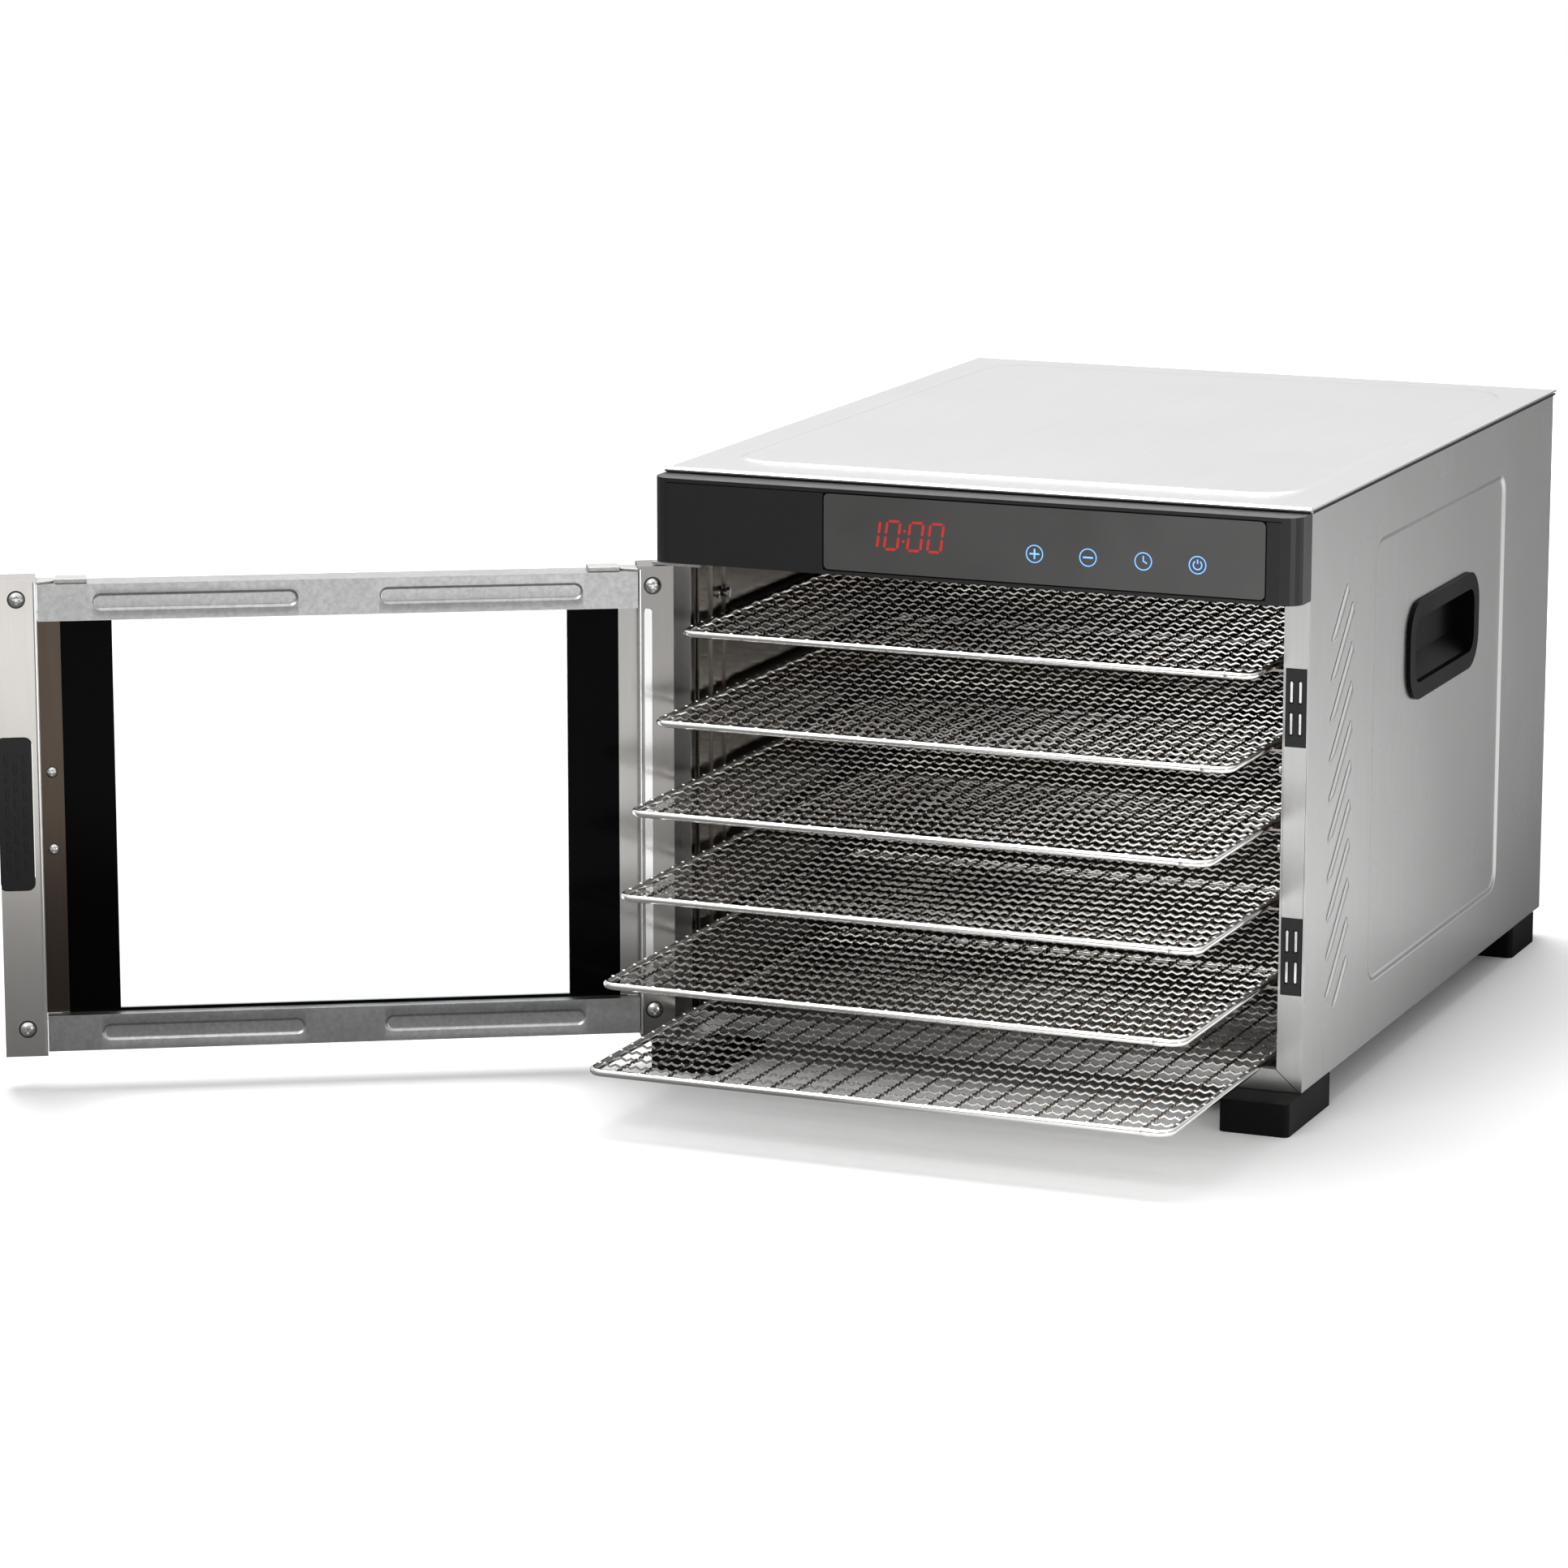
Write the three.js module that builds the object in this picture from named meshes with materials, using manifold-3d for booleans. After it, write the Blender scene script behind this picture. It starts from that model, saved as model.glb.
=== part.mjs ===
// Six-tray food dehydrator: a stainless steel cabinet with a hinged glass door and sliding wire trays, and a
// fan with a ring heater behind a slotted baffle. The door stands open and the trays are drawn out in steps.
// Millimetres, +Z up. X runs across the front and +Y runs from the door to the back. The pieces are placed
// with y = 0 at the cabinet's front edge and z = 0 at its underside; the last lines put the floor at z = 0.

import * as THREE from "three";
import { mergeVertices } from "three/addons/utils/BufferGeometryUtils.js";
import Module from "manifold-3d";

const wasm = await Module();
wasm.setup();

// ---- Driving dimensions ----
const GAP = 0.3; // between pieces that touch
const RUNNING_GAP = 0.6; // round a turning shaft
const CURVE_STEPS = 3; // half the straight steps in an arc of an outline
const ROUND_STEPS = 14; // straight steps round a small cylinder

const CABINET_WIDTH = 345;
const CABINET_DEPTH = 450;
const CABINET_HEIGHT = 295;
const SHEET = 1;
const FRONT_RETURN = 13.3; // side panel's flange beside the door opening
const REAR_RETURN = 17.5;
const REAR_CORNER = 6;
const SILL_HEIGHT = 11; // base pan's front flange
const PRESSING = 1; // how far the panel pressings stand in or out
const LID_BEAD = 1.1; // radius of the lid's rolled front lip
const LID_LIP = { inset: 20, height: 9 }; // folded down inside each side panel

const SIDE_PRESSING = { front: 109, rearMargin: 100, bottom: 30, topMargin: 32, corner: 12 };
const LID_PRESSING = { sideMargin: 23, front: 33, rearMargin: 27, corner: 22 };
const LOUVRES = { front: 36.5, rear: 70, bottom: 33.5, topMargin: 46.5, pitch: 20.3, width: 2.8 };
const SHORTEST_LOUVRE = 6;

const BEZEL_HEIGHT = 43.5;
const BEZEL_DEPTH = 20;
const BEZEL_WALL = 3;
const BEZEL_CORNER = 10;
const BEZEL_TOP_DROP = 2; // lid's top face to the bezel's top
const GLASS_WINDOW = { left: -77.8, right: 155.6, margin: 2, depth: 1.4, corner: 2 };
const DISPLAY = { left: -57, right: -8, low: 11, high: 32.5, aperture: 2 };
const BOARD = { left: -68, right: 148, margin: 4, front: 11, thickness: 1.6 };
const BOARD_POST = { radius: 2.5, inset: 5 };

const FOOT_HEIGHT = 17.3;
const FOOT_WIDTH = 36.4;
const FOOT_OVERHANG = 0.5; // foot's outer face beyond the side panel
const FOOT_CORNER = 3;
const FRONT_FOOT_NOSE = 23; // reach in front of the cabinet, under the door
const FRONT_FOOT_LENGTH = 71;
const REAR_FOOT_LENGTH = 47;
const REAR_FOOT_INSET = 18;

const HANDLE_CUP = { behindMiddle: 4.5, topMargin: 76.2, length: 128, height: 52.3, corner: 18, lip: 7 };
const HANDLE_CUP_LIP_THICKNESS = 2;
const HANDLE_CUP_WALL = 2;
const HANDLE_CUP_FLOOR = 1.5;
const HANDLE_CUP_SLOPE = 14; // rise of the sloped lower face, outside to inside

const CATCH = { width: 10.4, height: 39, depth: 9, proud: 0.6, lowest: 50, spacing: 126 };
const CATCH_SLOT = { width: 2.2, height: 12, depth: 1, acrossPitch: 4.6, upPitch: 16 };

const TRAY_COUNT = 6;
const TRAY_SIDE_CLEARANCE = 5.4; // rim to the chamber wall
const TRAY_FRONT_INSET = 4; // rim behind the cabinet's front edge when pushed in
const TRAY_REAR_CLEARANCE = 10;
const TRAY_RIM = 4.2;
const TRAY_RIM_BEVEL = 0.3; // share of the rim's section taken off each corner
const TRAY_CORNER = 8;
const TRAY_WIRE = 2;
const TRAY_WIRES_ALONG = 4;
const TRAY_WIRES_ACROSS = 5;
const LOWEST_TRAY = 13.6; // height of its rim's centre
const TOP_TRAY_DROP = 34.4; // door opening's top to the highest rim's centre
const TRAYS_DRAWN_OUT = [150.5, 133.5, 112, 98, 67.5, 34]; // lowest tray first

const RACK_PLATE = 1;
const RACK_LEDGE = 8.7;
const RACK_LEDGE_THICKNESS = 1.2;
const RACK_FRONT = 8;
const RACK_REAR_CLEARANCE = 6;
const RACK_RIB = { first: 23, pitch: 17, count: 2, width: 4, depth: 1.2 };

const REAR_BAY = 102; // baffle to the cabinet's back edge
const MOTOR_BAY = 57.7; // motor plate to the cabinet's back edge
const FAN_RADIUS = 68;
const FAN_BLADES = 7;
const FAN_BLADE = { chord: 24, thickness: 1.6, pitchDegrees: 32 };
const FAN_HUB = { radius: 16, length: 22 };
const FAN_FRONT_CLEARANCE = 12;
const SHAFT_RADIUS = 3;
const SHAFT_INTO_MOTOR = 16;
const MOTOR = { radius: 36, length: 30, bore: 19 };
const MOTOR_STRAP = { width: 16, thickness: 1.5, half: 58, foot: 12 };
const HEATER = { radius: 84, tube: 3.5, standoff: 21, legSpread: 10, legReach: 9 };
const HEATER_CLIP = { width: 14, thickness: 1.4, foot: 12 };
const CUTOUT = { x: 72, z: 66, radius: 8, length: 8 };
const SENSOR = { x: -60, drop: 16, radius: 2.5, length: 24, collar: 5 };
const GRILLE = { radius: 62, pitch: 12, slot: 5 };
const SIDE_VENTS = { margin: 22, pitch: 36, length: 24 }; // upright slots beside the baffle's grille

const INLET = { x: 131, z: 30, width: 30, height: 24, wall: 3, depth: 24, pocket: 18 };
const INLET_FLANGE = { width: 4, thickness: 1.4 };

const DOOR_SIDE_MARGIN = 1.5; // door narrower than the cabinet by this
const DOOR_THICKNESS = 19;
const DOOR_CLEARANCE = 1; // shut door to the cabinet's front edge
const DOOR_TOP_CLEARANCE = 2;
const DOOR_BOTTOM = 0.6;
const DOOR_OPEN_DEGREES = 150;
const DOOR_SHEET = 1.2;
const HINGE_TO_EDGE = 3.5;
const HINGE_POST = 17.7;
const HANDLE_POST = 21.4;
const RAIL_HEIGHT = 18.7;
const RAIL_TOP_DROP = 2.9;
const RAIL_BOTTOM_RISE = 2;
const RAIL_INSET = 1; // rail's faces behind the posts' faces
const RAIL_RIB = { start: 28, length: 104, gap: 40.5, height: 9, proud: 0.8 };
const HINGE_LIP = 10;
const HANDLE_LIP = 11.5;
const PANE = { thickness: 4, back: 1, overlap: 3.4 }; // back: its inner face from the door's mid plane
const GRIP = { width: 17, height: 79, bottom: 87.7, corner: 4, proud: 4 };
const PIN_RADIUS = 2;
const PIN_REACH = 10;
const HINGE_PLATE = { thickness: 1.3, width: 27, clearance: 0.4, inset: 1, underCabinet: 20 };
const CORNER_SCREW = { head: 3.75, dome: 1.7, shank: 1.9, length: 6, fromEdge: 11, fromEnd: 10, bottom: 15 };
const GRIP_SCREW = { head: 2.65, dome: 1.3, shank: 1.2, length: 0.9, fromPost: 5.6, spacing: 40 };

// ---- Places that follow from them ----
const HALF_WIDTH = CABINET_WIDTH / 2;
const WALL = HALF_WIDTH - SHEET; // inner face of a side panel
const OPENING = HALF_WIDTH - FRONT_RETURN; // half the door opening, and the chamber wall's inner face
const LID_UNDERSIDE = CABINET_HEIGHT - SHEET;
const SIDE_TOP = LID_UNDERSIDE - GAP;
const BEZEL_TOP = CABINET_HEIGHT - BEZEL_TOP_DROP;
const BEZEL_BOTTOM = BEZEL_TOP - BEZEL_HEIGHT;
const CEILING = BEZEL_BOTTOM - GAP - SHEET; // underside of the chamber's top
const CHAMBER_TOP = CEILING - GAP;
const BAFFLE_Y = CABINET_DEPTH - REAR_BAY;
const MOTOR_PLATE_Y = CABINET_DEPTH - MOTOR_BAY;
const FAN_Z = (SHEET + CHAMBER_TOP) / 2;
const REAR_PANEL_Y = CABINET_DEPTH - SHEET; // its inner face; it laps over the side panels' returns
const SIDE_BACK = REAR_PANEL_Y - GAP; // the returns' outer face
const TRAY_HALF_WIDTH = OPENING - TRAY_SIDE_CLEARANCE;
const TRAY_DEPTH = BAFFLE_Y - TRAY_FRONT_INSET - TRAY_REAR_CLEARANCE;
const TRAY_PITCH = (BEZEL_BOTTOM - TOP_TRAY_DROP - LOWEST_TRAY) / (TRAY_COUNT - 1);
const DOOR_TOP = BEZEL_BOTTOM - DOOR_TOP_CLEARANCE;
const UPPER_PLATE_BOTTOM = DOOR_TOP + HINGE_PLATE.clearance;
const LOWER_PLATE_BOTTOM = -GAP - HINGE_PLATE.thickness;
const DOOR_WIDTH = CABINET_WIDTH - DOOR_SIDE_MARGIN;
const HALF_DOOR = DOOR_THICKNESS / 2;
const PIVOT_X = -HALF_WIDTH + HINGE_TO_EDGE;
const PIVOT_Y = -DOOR_CLEARANCE - HALF_DOOR;
const DOOR_END = DOOR_WIDTH - HINGE_TO_EDGE; // handle edge, measured from the hinge axis
const HINGE_POST_END = HINGE_POST - HINGE_TO_EDGE;
const HANDLE_POST_START = DOOR_END - HANDLE_POST;
const RAIL_TOP = DOOR_TOP - RAIL_TOP_DROP;
const RAIL_BOTTOM = DOOR_BOTTOM + RAIL_BOTTOM_RISE;

// ---- Shapes and solids ----
const AXIS = { X: new THREE.Vector3(1, 0, 0), Y: new THREE.Vector3(0, 1, 0), Z: new THREE.Vector3(0, 0, 1) };
// Where an outline's own x, y and depth go when it is extruded along each axis.
const EXTRUDED_ALONG = {
  x: new THREE.Matrix4().makeBasis(AXIS.Y, AXIS.Z, AXIS.X),
  y: new THREE.Matrix4().makeBasis(AXIS.X, AXIS.Z, AXIS.Y.clone().negate()),
  z: new THREE.Matrix4(),
};

function solidFrom(geometry) {
  geometry.deleteAttribute("normal");
  geometry.deleteAttribute("uv");
  const merged = mergeVertices(geometry, 1e-4);
  const corners = merged.index.array;
  const triangles = [];
  for (let i = 0; i < corners.length; i += 3) {
    const [a, b, c] = corners.slice(i, i + 3);
    if (a !== b && b !== c && c !== a) triangles.push(a, b, c);
  }
  return new wasm.Manifold(
    new wasm.Mesh({
      numProp: 3,
      vertProperties: merged.attributes.position.array,
      triVerts: new Uint32Array(triangles),
    }),
  );
}

function join(...solids) {
  return solids.reduce((whole, next) => whole.add(next));
}

function cut(solid, ...cutters) {
  return cutters.reduce((left, cutter) => left.subtract(cutter), solid);
}

function piece(name, solid, material) {
  const { vertProperties, triVerts } = solid.getMesh();
  const geometry = new THREE.BufferGeometry();
  geometry.setAttribute("position", new THREE.BufferAttribute(vertProperties, 3));
  geometry.setIndex(new THREE.BufferAttribute(triVerts, 1));
  geometry.computeVertexNormals();
  const mesh = new THREE.Mesh(geometry, material());
  mesh.name = name;
  return mesh;
}

function mirrored(mesh) {
  mesh.scale.x = -1;
  return mesh;
}

function box([x0, x1], [y0, y1], [z0, z1]) {
  const geometry = new THREE.BoxGeometry(x1 - x0, y1 - y0, z1 - z0);
  geometry.translate((x0 + x1) / 2, (y0 + y1) / 2, (z0 + z1) / 2);
  return solidFrom(geometry);
}

// A shape is drawn in (Y, Z) for axis x, in (X, Z) for axis y and in (X, Y) for axis z.
function extrude(axis, shape, low, high) {
  const settings = { depth: high - low, bevelEnabled: false, curveSegments: CURVE_STEPS };
  const geometry = new THREE.ExtrudeGeometry(shape, settings);
  geometry.translate(0, 0, axis === "y" ? -high : low);
  geometry.applyMatrix4(EXTRUDED_ALONG[axis]);
  return solidFrom(geometry);
}

function outline(points) {
  return new THREE.Shape(points.map(([a, b]) => new THREE.Vector2(a, b)));
}

function roundedRect([a0, a1], [b0, b1], radius) {
  const quarter = Math.PI / 2;
  const shape = new THREE.Shape();
  shape.absarc(a1 - radius, b0 + radius, radius, -quarter, 0);
  shape.absarc(a1 - radius, b1 - radius, radius, 0, quarter);
  shape.absarc(a0 + radius, b1 - radius, radius, quarter, 2 * quarter);
  shape.absarc(a0 + radius, b0 + radius, radius, 2 * quarter, 3 * quarter);
  return shape;
}

// An obround slot between the centres of its two round ends.
function slot([a0, b0], [a1, b1], width) {
  const turn = Math.atan2(b1 - b0, a1 - a0);
  const quarter = Math.PI / 2;
  const shape = new THREE.Shape();
  shape.absarc(a0, b0, width / 2, turn + quarter, turn + 3 * quarter);
  shape.absarc(a1, b1, width / 2, turn - quarter, turn + quarter);
  return shape;
}

// A solid of revolution from [radius, height] points, upwards along its axis, which runs along +Y or +Z.
function turned(axis, points, steps = ROUND_STEPS) {
  const geometry = new THREE.LatheGeometry(points.map(([r, h]) => new THREE.Vector2(r, h)), steps);
  if (axis === "z") geometry.rotateX(Math.PI / 2);
  return solidFrom(geometry);
}

function rod(axis, radius, [low, high], steps = ROUND_STEPS) {
  return turned(axis, [[0, low], [radius, low], [radius, high], [0, high]], steps);
}

function at(solid, x, y, z) {
  return solid.translate([x, y, z]);
}

// ---- Materials ----
function steel(color, roughness) {
  return () => new THREE.MeshStandardMaterial({ color, roughness, metalness: 1 });
}

function plastic(color, roughness) {
  return () => new THREE.MeshStandardMaterial({ color, roughness, metalness: 0 });
}

const BRUSHED_STEEL = steel(0xbfc0c0, 0.38);
const CHAMBER_STEEL = steel(0xa9a7a4, 0.3);
const DULL_STEEL = steel(0x9a9b9a, 0.5);
const TRAY_STEEL = steel(0xd2d2cf, 0.2);
const BLACK_PLASTIC = plastic(0x1b1b1c, 0.45);
const BLACK_GLASS = plastic(0x101011, 0.12);
const CIRCUIT = plastic(0x1f4a2c, 0.55);
const CLEAR_GLASS = () =>
  new THREE.MeshStandardMaterial({ color: 0xdfe8ea, roughness: 0.05, transparent: true, opacity: 0.3 });

// ---- Cabinet ----
function louvreSlots() {
  const low = LOUVRES.bottom;
  const high = SIDE_TOP - LOUVRES.topMargin;
  const run = LOUVRES.rear - LOUVRES.front;
  const slots = [];
  for (let start = low - run; start < high; start += LOUVRES.pitch) {
    const first = Math.max(start, low) - start;
    const last = Math.min(start + run, high) - start;
    if (last - first < SHORTEST_LOUVRE) continue;
    const from = [LOUVRES.front + first, start + first];
    const to = [LOUVRES.front + last, start + last];
    slots.push(extrude("x", slot(from, to, LOUVRES.width), WALL - GAP, HALF_WIDTH + GAP));
  }
  return slots;
}

// The right side panel seen from above: front flange, wall, rounded rear corner and rear flange.
function sidePanelPlan() {
  const inner = REAR_CORNER - SHEET;
  const [cx, cy] = [HALF_WIDTH - REAR_CORNER, SIDE_BACK - REAR_CORNER];
  const shape = new THREE.Shape();
  shape.moveTo(OPENING, 0);
  shape.lineTo(HALF_WIDTH, 0);
  shape.absarc(cx, cy, REAR_CORNER, 0, Math.PI / 2);
  shape.lineTo(HALF_WIDTH - REAR_RETURN, SIDE_BACK);
  shape.lineTo(HALF_WIDTH - REAR_RETURN, SIDE_BACK - SHEET);
  shape.absarc(cx, cy, inner, Math.PI / 2, 0, true);
  shape.lineTo(WALL, SHEET);
  shape.lineTo(OPENING, SHEET);
  return shape;
}

function handleCupSpan(inset) {
  const pressingMiddle = (SIDE_PRESSING.front + CABINET_DEPTH - SIDE_PRESSING.rearMargin) / 2;
  const rear = pressingMiddle + HANDLE_CUP.behindMiddle + HANDLE_CUP.length / 2;
  const top = CABINET_HEIGHT - HANDLE_CUP.topMargin;
  const along = [rear - HANDLE_CUP.length + inset, rear - inset];
  const up = [top - HANDLE_CUP.height + inset, top - inset];
  return roundedRect(along, up, HANDLE_CUP.corner - inset);
}

function sidePressing(grow) {
  const along = [SIDE_PRESSING.front - grow, CABINET_DEPTH - SIDE_PRESSING.rearMargin + grow];
  const up = [SIDE_PRESSING.bottom - grow, CABINET_HEIGHT - SIDE_PRESSING.topMargin + grow];
  return roundedRect(along, up, SIDE_PRESSING.corner + grow);
}

function catchBottoms() {
  return [CATCH.lowest, CATCH.lowest + CATCH.spacing];
}

function catchAcross(grow) {
  const middle = (OPENING + HALF_WIDTH) / 2;
  return [middle - CATCH.width / 2 - grow, middle + CATCH.width / 2 + grow];
}

function sidePanel() {
  const body = extrude("z", sidePanelPlan(), 0, SIDE_TOP);
  const boss = extrude("x", sidePressing(SHEET), WALL - PRESSING, WALL + GAP);
  const recess = extrude("x", sidePressing(0), HALF_WIDTH - PRESSING, HALF_WIDTH + GAP);
  const handleHole = extrude("x", handleCupSpan(HANDLE_CUP.lip - GAP), WALL - 5, HALF_WIDTH + GAP);
  const mitre = outline([
    [OPENING - GAP, -GAP],
    [WALL, -GAP],
    [WALL, 0],
    [OPENING, SILL_HEIGHT],
    [OPENING - GAP, SILL_HEIGHT],
  ]);
  return cut(
    join(body, boss),
    recess,
    handleHole,
    extrude("y", mitre, -GAP, SHEET + GAP),
    ...louvreSlots(),
  );
}

// The magnetic catches sit only beside the door's free edge.
function catchHoles() {
  return catchBottoms().map((bottom) =>
    box(catchAcross(GAP), [-GAP, SHEET + GAP], [bottom - GAP, bottom + CATCH.height + GAP]),
  );
}

function magnetCatch(bottom) {
  const body = box(catchAcross(0), [-CATCH.proud, CATCH.depth], [bottom, bottom + CATCH.height]);
  const middleX = (OPENING + HALF_WIDTH) / 2;
  const middleZ = bottom + CATCH.height / 2;
  const slots = [];
  for (const across of [-0.5, 0.5]) {
    for (const up of [-0.5, 0.5]) {
      const x = middleX + across * CATCH_SLOT.acrossPitch;
      const z = middleZ + up * CATCH_SLOT.upPitch;
      const spanX = [x - CATCH_SLOT.width / 2, x + CATCH_SLOT.width / 2];
      const spanZ = [z - CATCH_SLOT.height / 2, z + CATCH_SLOT.height / 2];
      slots.push(box(spanX, [-CATCH.proud - GAP, CATCH_SLOT.depth - CATCH.proud], spanZ));
    }
  }
  return cut(body, ...slots);
}

function topCover() {
  const plate = box([-HALF_WIDTH, HALF_WIDTH], [-LID_BEAD, CABINET_DEPTH], [LID_UNDERSIDE, CABINET_HEIGHT]);
  const beadZ = BEZEL_TOP + GAP + LID_BEAD;
  const beadSection = slot([-LID_BEAD - GAP, beadZ], [-GAP, beadZ + GAP], 2 * LID_BEAD);
  const bead = extrude("x", beadSection, -HALF_WIDTH, HALF_WIDTH);
  const pressing = (grow) => {
    const across = HALF_WIDTH - LID_PRESSING.sideMargin + grow;
    const along = [LID_PRESSING.front - grow, CABINET_DEPTH - LID_PRESSING.rearMargin + grow];
    return roundedRect([-across, across], along, LID_PRESSING.corner + grow);
  };
  const raised = extrude("z", pressing(0), CABINET_HEIGHT - GAP, CABINET_HEIGHT + PRESSING);
  const hollow = extrude("z", pressing(-SHEET), LID_UNDERSIDE - GAP, LID_UNDERSIDE + PRESSING);
  const beadTrim = box([-HALF_WIDTH - 1, HALF_WIDTH + 1], [-GAP, 2 * LID_BEAD], [BEZEL_TOP, LID_UNDERSIDE]);
  const lips = [-1, 1].map((side) => {
    const across = [side * (WALL - GAP), side * (WALL - GAP - SHEET)].sort((a, b) => a - b);
    const along = [LID_LIP.inset, CABINET_DEPTH - LID_LIP.inset];
    return box(across, along, [LID_UNDERSIDE - LID_LIP.height, LID_UNDERSIDE + GAP]);
  });
  return join(cut(join(plate, raised, cut(bead, beadTrim)), hollow), ...lips);
}

// The sill's mitred ends meet the side panels' flanges, so the floor starts behind it on a narrower neck.
// At the back the floor ends in front of the panels' returns, and between them it runs under the rear panel.
function basePan() {
  const half = WALL - GAP;
  const mitreGap = 2 * GAP;
  const cornerY = SIDE_BACK - REAR_CORNER - GAP;
  const returnX = HALF_WIDTH - REAR_RETURN - GAP;
  const returnY = SIDE_BACK - SHEET - GAP;
  const plan = outline([
    [-half, SHEET + GAP],
    [half, SHEET + GAP],
    [half, cornerY],
    [HALF_WIDTH - REAR_CORNER, returnY],
    [returnX, returnY],
    [returnX, CABINET_DEPTH],
    [-returnX, CABINET_DEPTH],
    [-returnX, returnY],
    [-HALF_WIDTH + REAR_CORNER, returnY],
    [-half, cornerY],
  ]);
  const floor = extrude("z", plan, 0, SHEET);
  const neck = box([-OPENING, OPENING], [SHEET / 2, SHEET + 2 * GAP], [0, SHEET]);
  const sill = outline([
    [-WALL + mitreGap, 0],
    [WALL - mitreGap, 0],
    [OPENING - mitreGap, SILL_HEIGHT],
    [-OPENING + mitreGap, SILL_HEIGHT],
  ]);
  return join(floor, neck, extrude("y", sill, 0, SHEET));
}

// Slots in rows that fill a circle, for the sheets that let air through.
function roundGrille(y) {
  const slots = [];
  for (let z = -GRILLE.radius + GRILLE.pitch / 2; z < GRILLE.radius; z += GRILLE.pitch) {
    const reach = Math.sqrt(GRILLE.radius ** 2 - z ** 2) - GRILLE.slot;
    const shape = slot([-reach, FAN_Z + z], [reach, FAN_Z + z], GRILLE.slot);
    slots.push(extrude("y", shape, y - 1, y + SHEET + 1));
  }
  return slots;
}

function inletSpan(grow) {
  const across = [INLET.x - INLET.width / 2 - grow, INLET.x + INLET.width / 2 + grow];
  const up = [INLET.z - INLET.height / 2 - grow, INLET.z + INLET.height / 2 + grow];
  return [across, up];
}

function rearPanel() {
  const half = HALF_WIDTH - REAR_CORNER;
  const sheet = box([-half, half], [REAR_PANEL_Y, REAR_PANEL_Y + SHEET], [SHEET + GAP, SIDE_TOP]);
  const [across, up] = inletSpan(GAP);
  const hole = box(across, [REAR_PANEL_Y - 1, CABINET_DEPTH + 1], up);
  return cut(sheet, hole, ...roundGrille(REAR_PANEL_Y));
}

// The inlet is fixed from within: its nose fills the rear panel's hole and its flange lies behind the sheet.
function powerInlet() {
  const face = CABINET_DEPTH;
  const seat = REAR_PANEL_Y - GAP;
  const [across, up] = inletSpan(0);
  const [flangeAcross, flangeUp] = inletSpan(INLET_FLANGE.width);
  const [pocketAcross, pocketUp] = inletSpan(-INLET.wall);
  const body = box(across, [face - INLET.depth, face], up);
  const flangeShape = roundedRect(flangeAcross, flangeUp, INLET_FLANGE.width);
  const flange = extrude("y", flangeShape, seat - INLET_FLANGE.thickness, seat);
  const pocket = roundedRect(pocketAcross, pocketUp, INLET.wall);
  return cut(join(body, flange), extrude("y", pocket, face - INLET.pocket, face + 1));
}

// The cup hangs in the side panel's hole by its lip and clears the chamber wall behind it.
function handleCup() {
  const seat = HALF_WIDTH - PRESSING + GAP;
  const face = seat + HANDLE_CUP_LIP_THICKNESS;
  const floor = OPENING + SHEET + 2 * GAP;
  const lip = extrude("x", handleCupSpan(0), seat, face);
  const body = extrude("x", handleCupSpan(HANDLE_CUP.lip), floor, seat + GAP);
  const pocketSpan = handleCupSpan(HANDLE_CUP.lip + HANDLE_CUP_WALL);
  const pocket = extrude("x", pocketSpan, floor + HANDLE_CUP_FLOOR, face + 1);
  const bottom = CABINET_HEIGHT - HANDLE_CUP.topMargin - HANDLE_CUP.height;
  const slope = outline([
    [face + 1, bottom],
    [face + 1, CABINET_HEIGHT],
    [floor, CABINET_HEIGHT],
    [floor, bottom + HANDLE_CUP.lip + HANDLE_CUP_SLOPE],
    [seat, bottom + HANDLE_CUP.lip],
  ]);
  return cut(join(lip, body), pocket.intersect(extrude("y", slope, 0, CABINET_DEPTH)));
}

function foot(front, length) {
  const outer = HALF_WIDTH + FOOT_OVERHANG;
  const plan = roundedRect([outer - FOOT_WIDTH, outer], [front, front + length], FOOT_CORNER);
  return extrude("z", plan, -FOOT_HEIGHT, -GAP);
}

// ---- Chamber ----
function liner() {
  return box([OPENING, OPENING + SHEET], [SHEET + GAP, MOTOR_PLATE_Y + SHEET], [SHEET + GAP, CHAMBER_TOP]);
}

function linerTop() {
  const half = OPENING + SHEET;
  return box([-half, half], [SHEET + GAP, MOTOR_PLATE_Y + SHEET], [CEILING, CEILING + SHEET]);
}

function trayHeight(index) {
  return LOWEST_TRAY + index * TRAY_PITCH;
}

function trayRack() {
  const face = OPENING - GAP;
  const along = [RACK_FRONT, BAFFLE_Y - RACK_REAR_CLEARANCE];
  const plate = box([face - RACK_PLATE, face], along, [SHEET + 3 * GAP, CHAMBER_TOP - GAP]);
  const ledges = [];
  for (let index = 0; index < TRAY_COUNT; index += 1) {
    const top = trayHeight(index) - TRAY_RIM / 2 - GAP;
    ledges.push(box([face - RACK_LEDGE, face - GAP], along, [top - RACK_LEDGE_THICKNESS, top]));
  }
  const ribs = [];
  for (let index = 0; index < RACK_RIB.count; index += 1) {
    const start = RACK_RIB.first + index * RACK_RIB.pitch;
    const across = [face - RACK_PLATE - RACK_RIB.depth, face - GAP];
    ribs.push(box(across, [start, start + RACK_RIB.width], [SHEET + 4 * GAP, CHAMBER_TOP - 2 * GAP]));
  }
  return join(plate, ...ledges, ...ribs);
}

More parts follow.
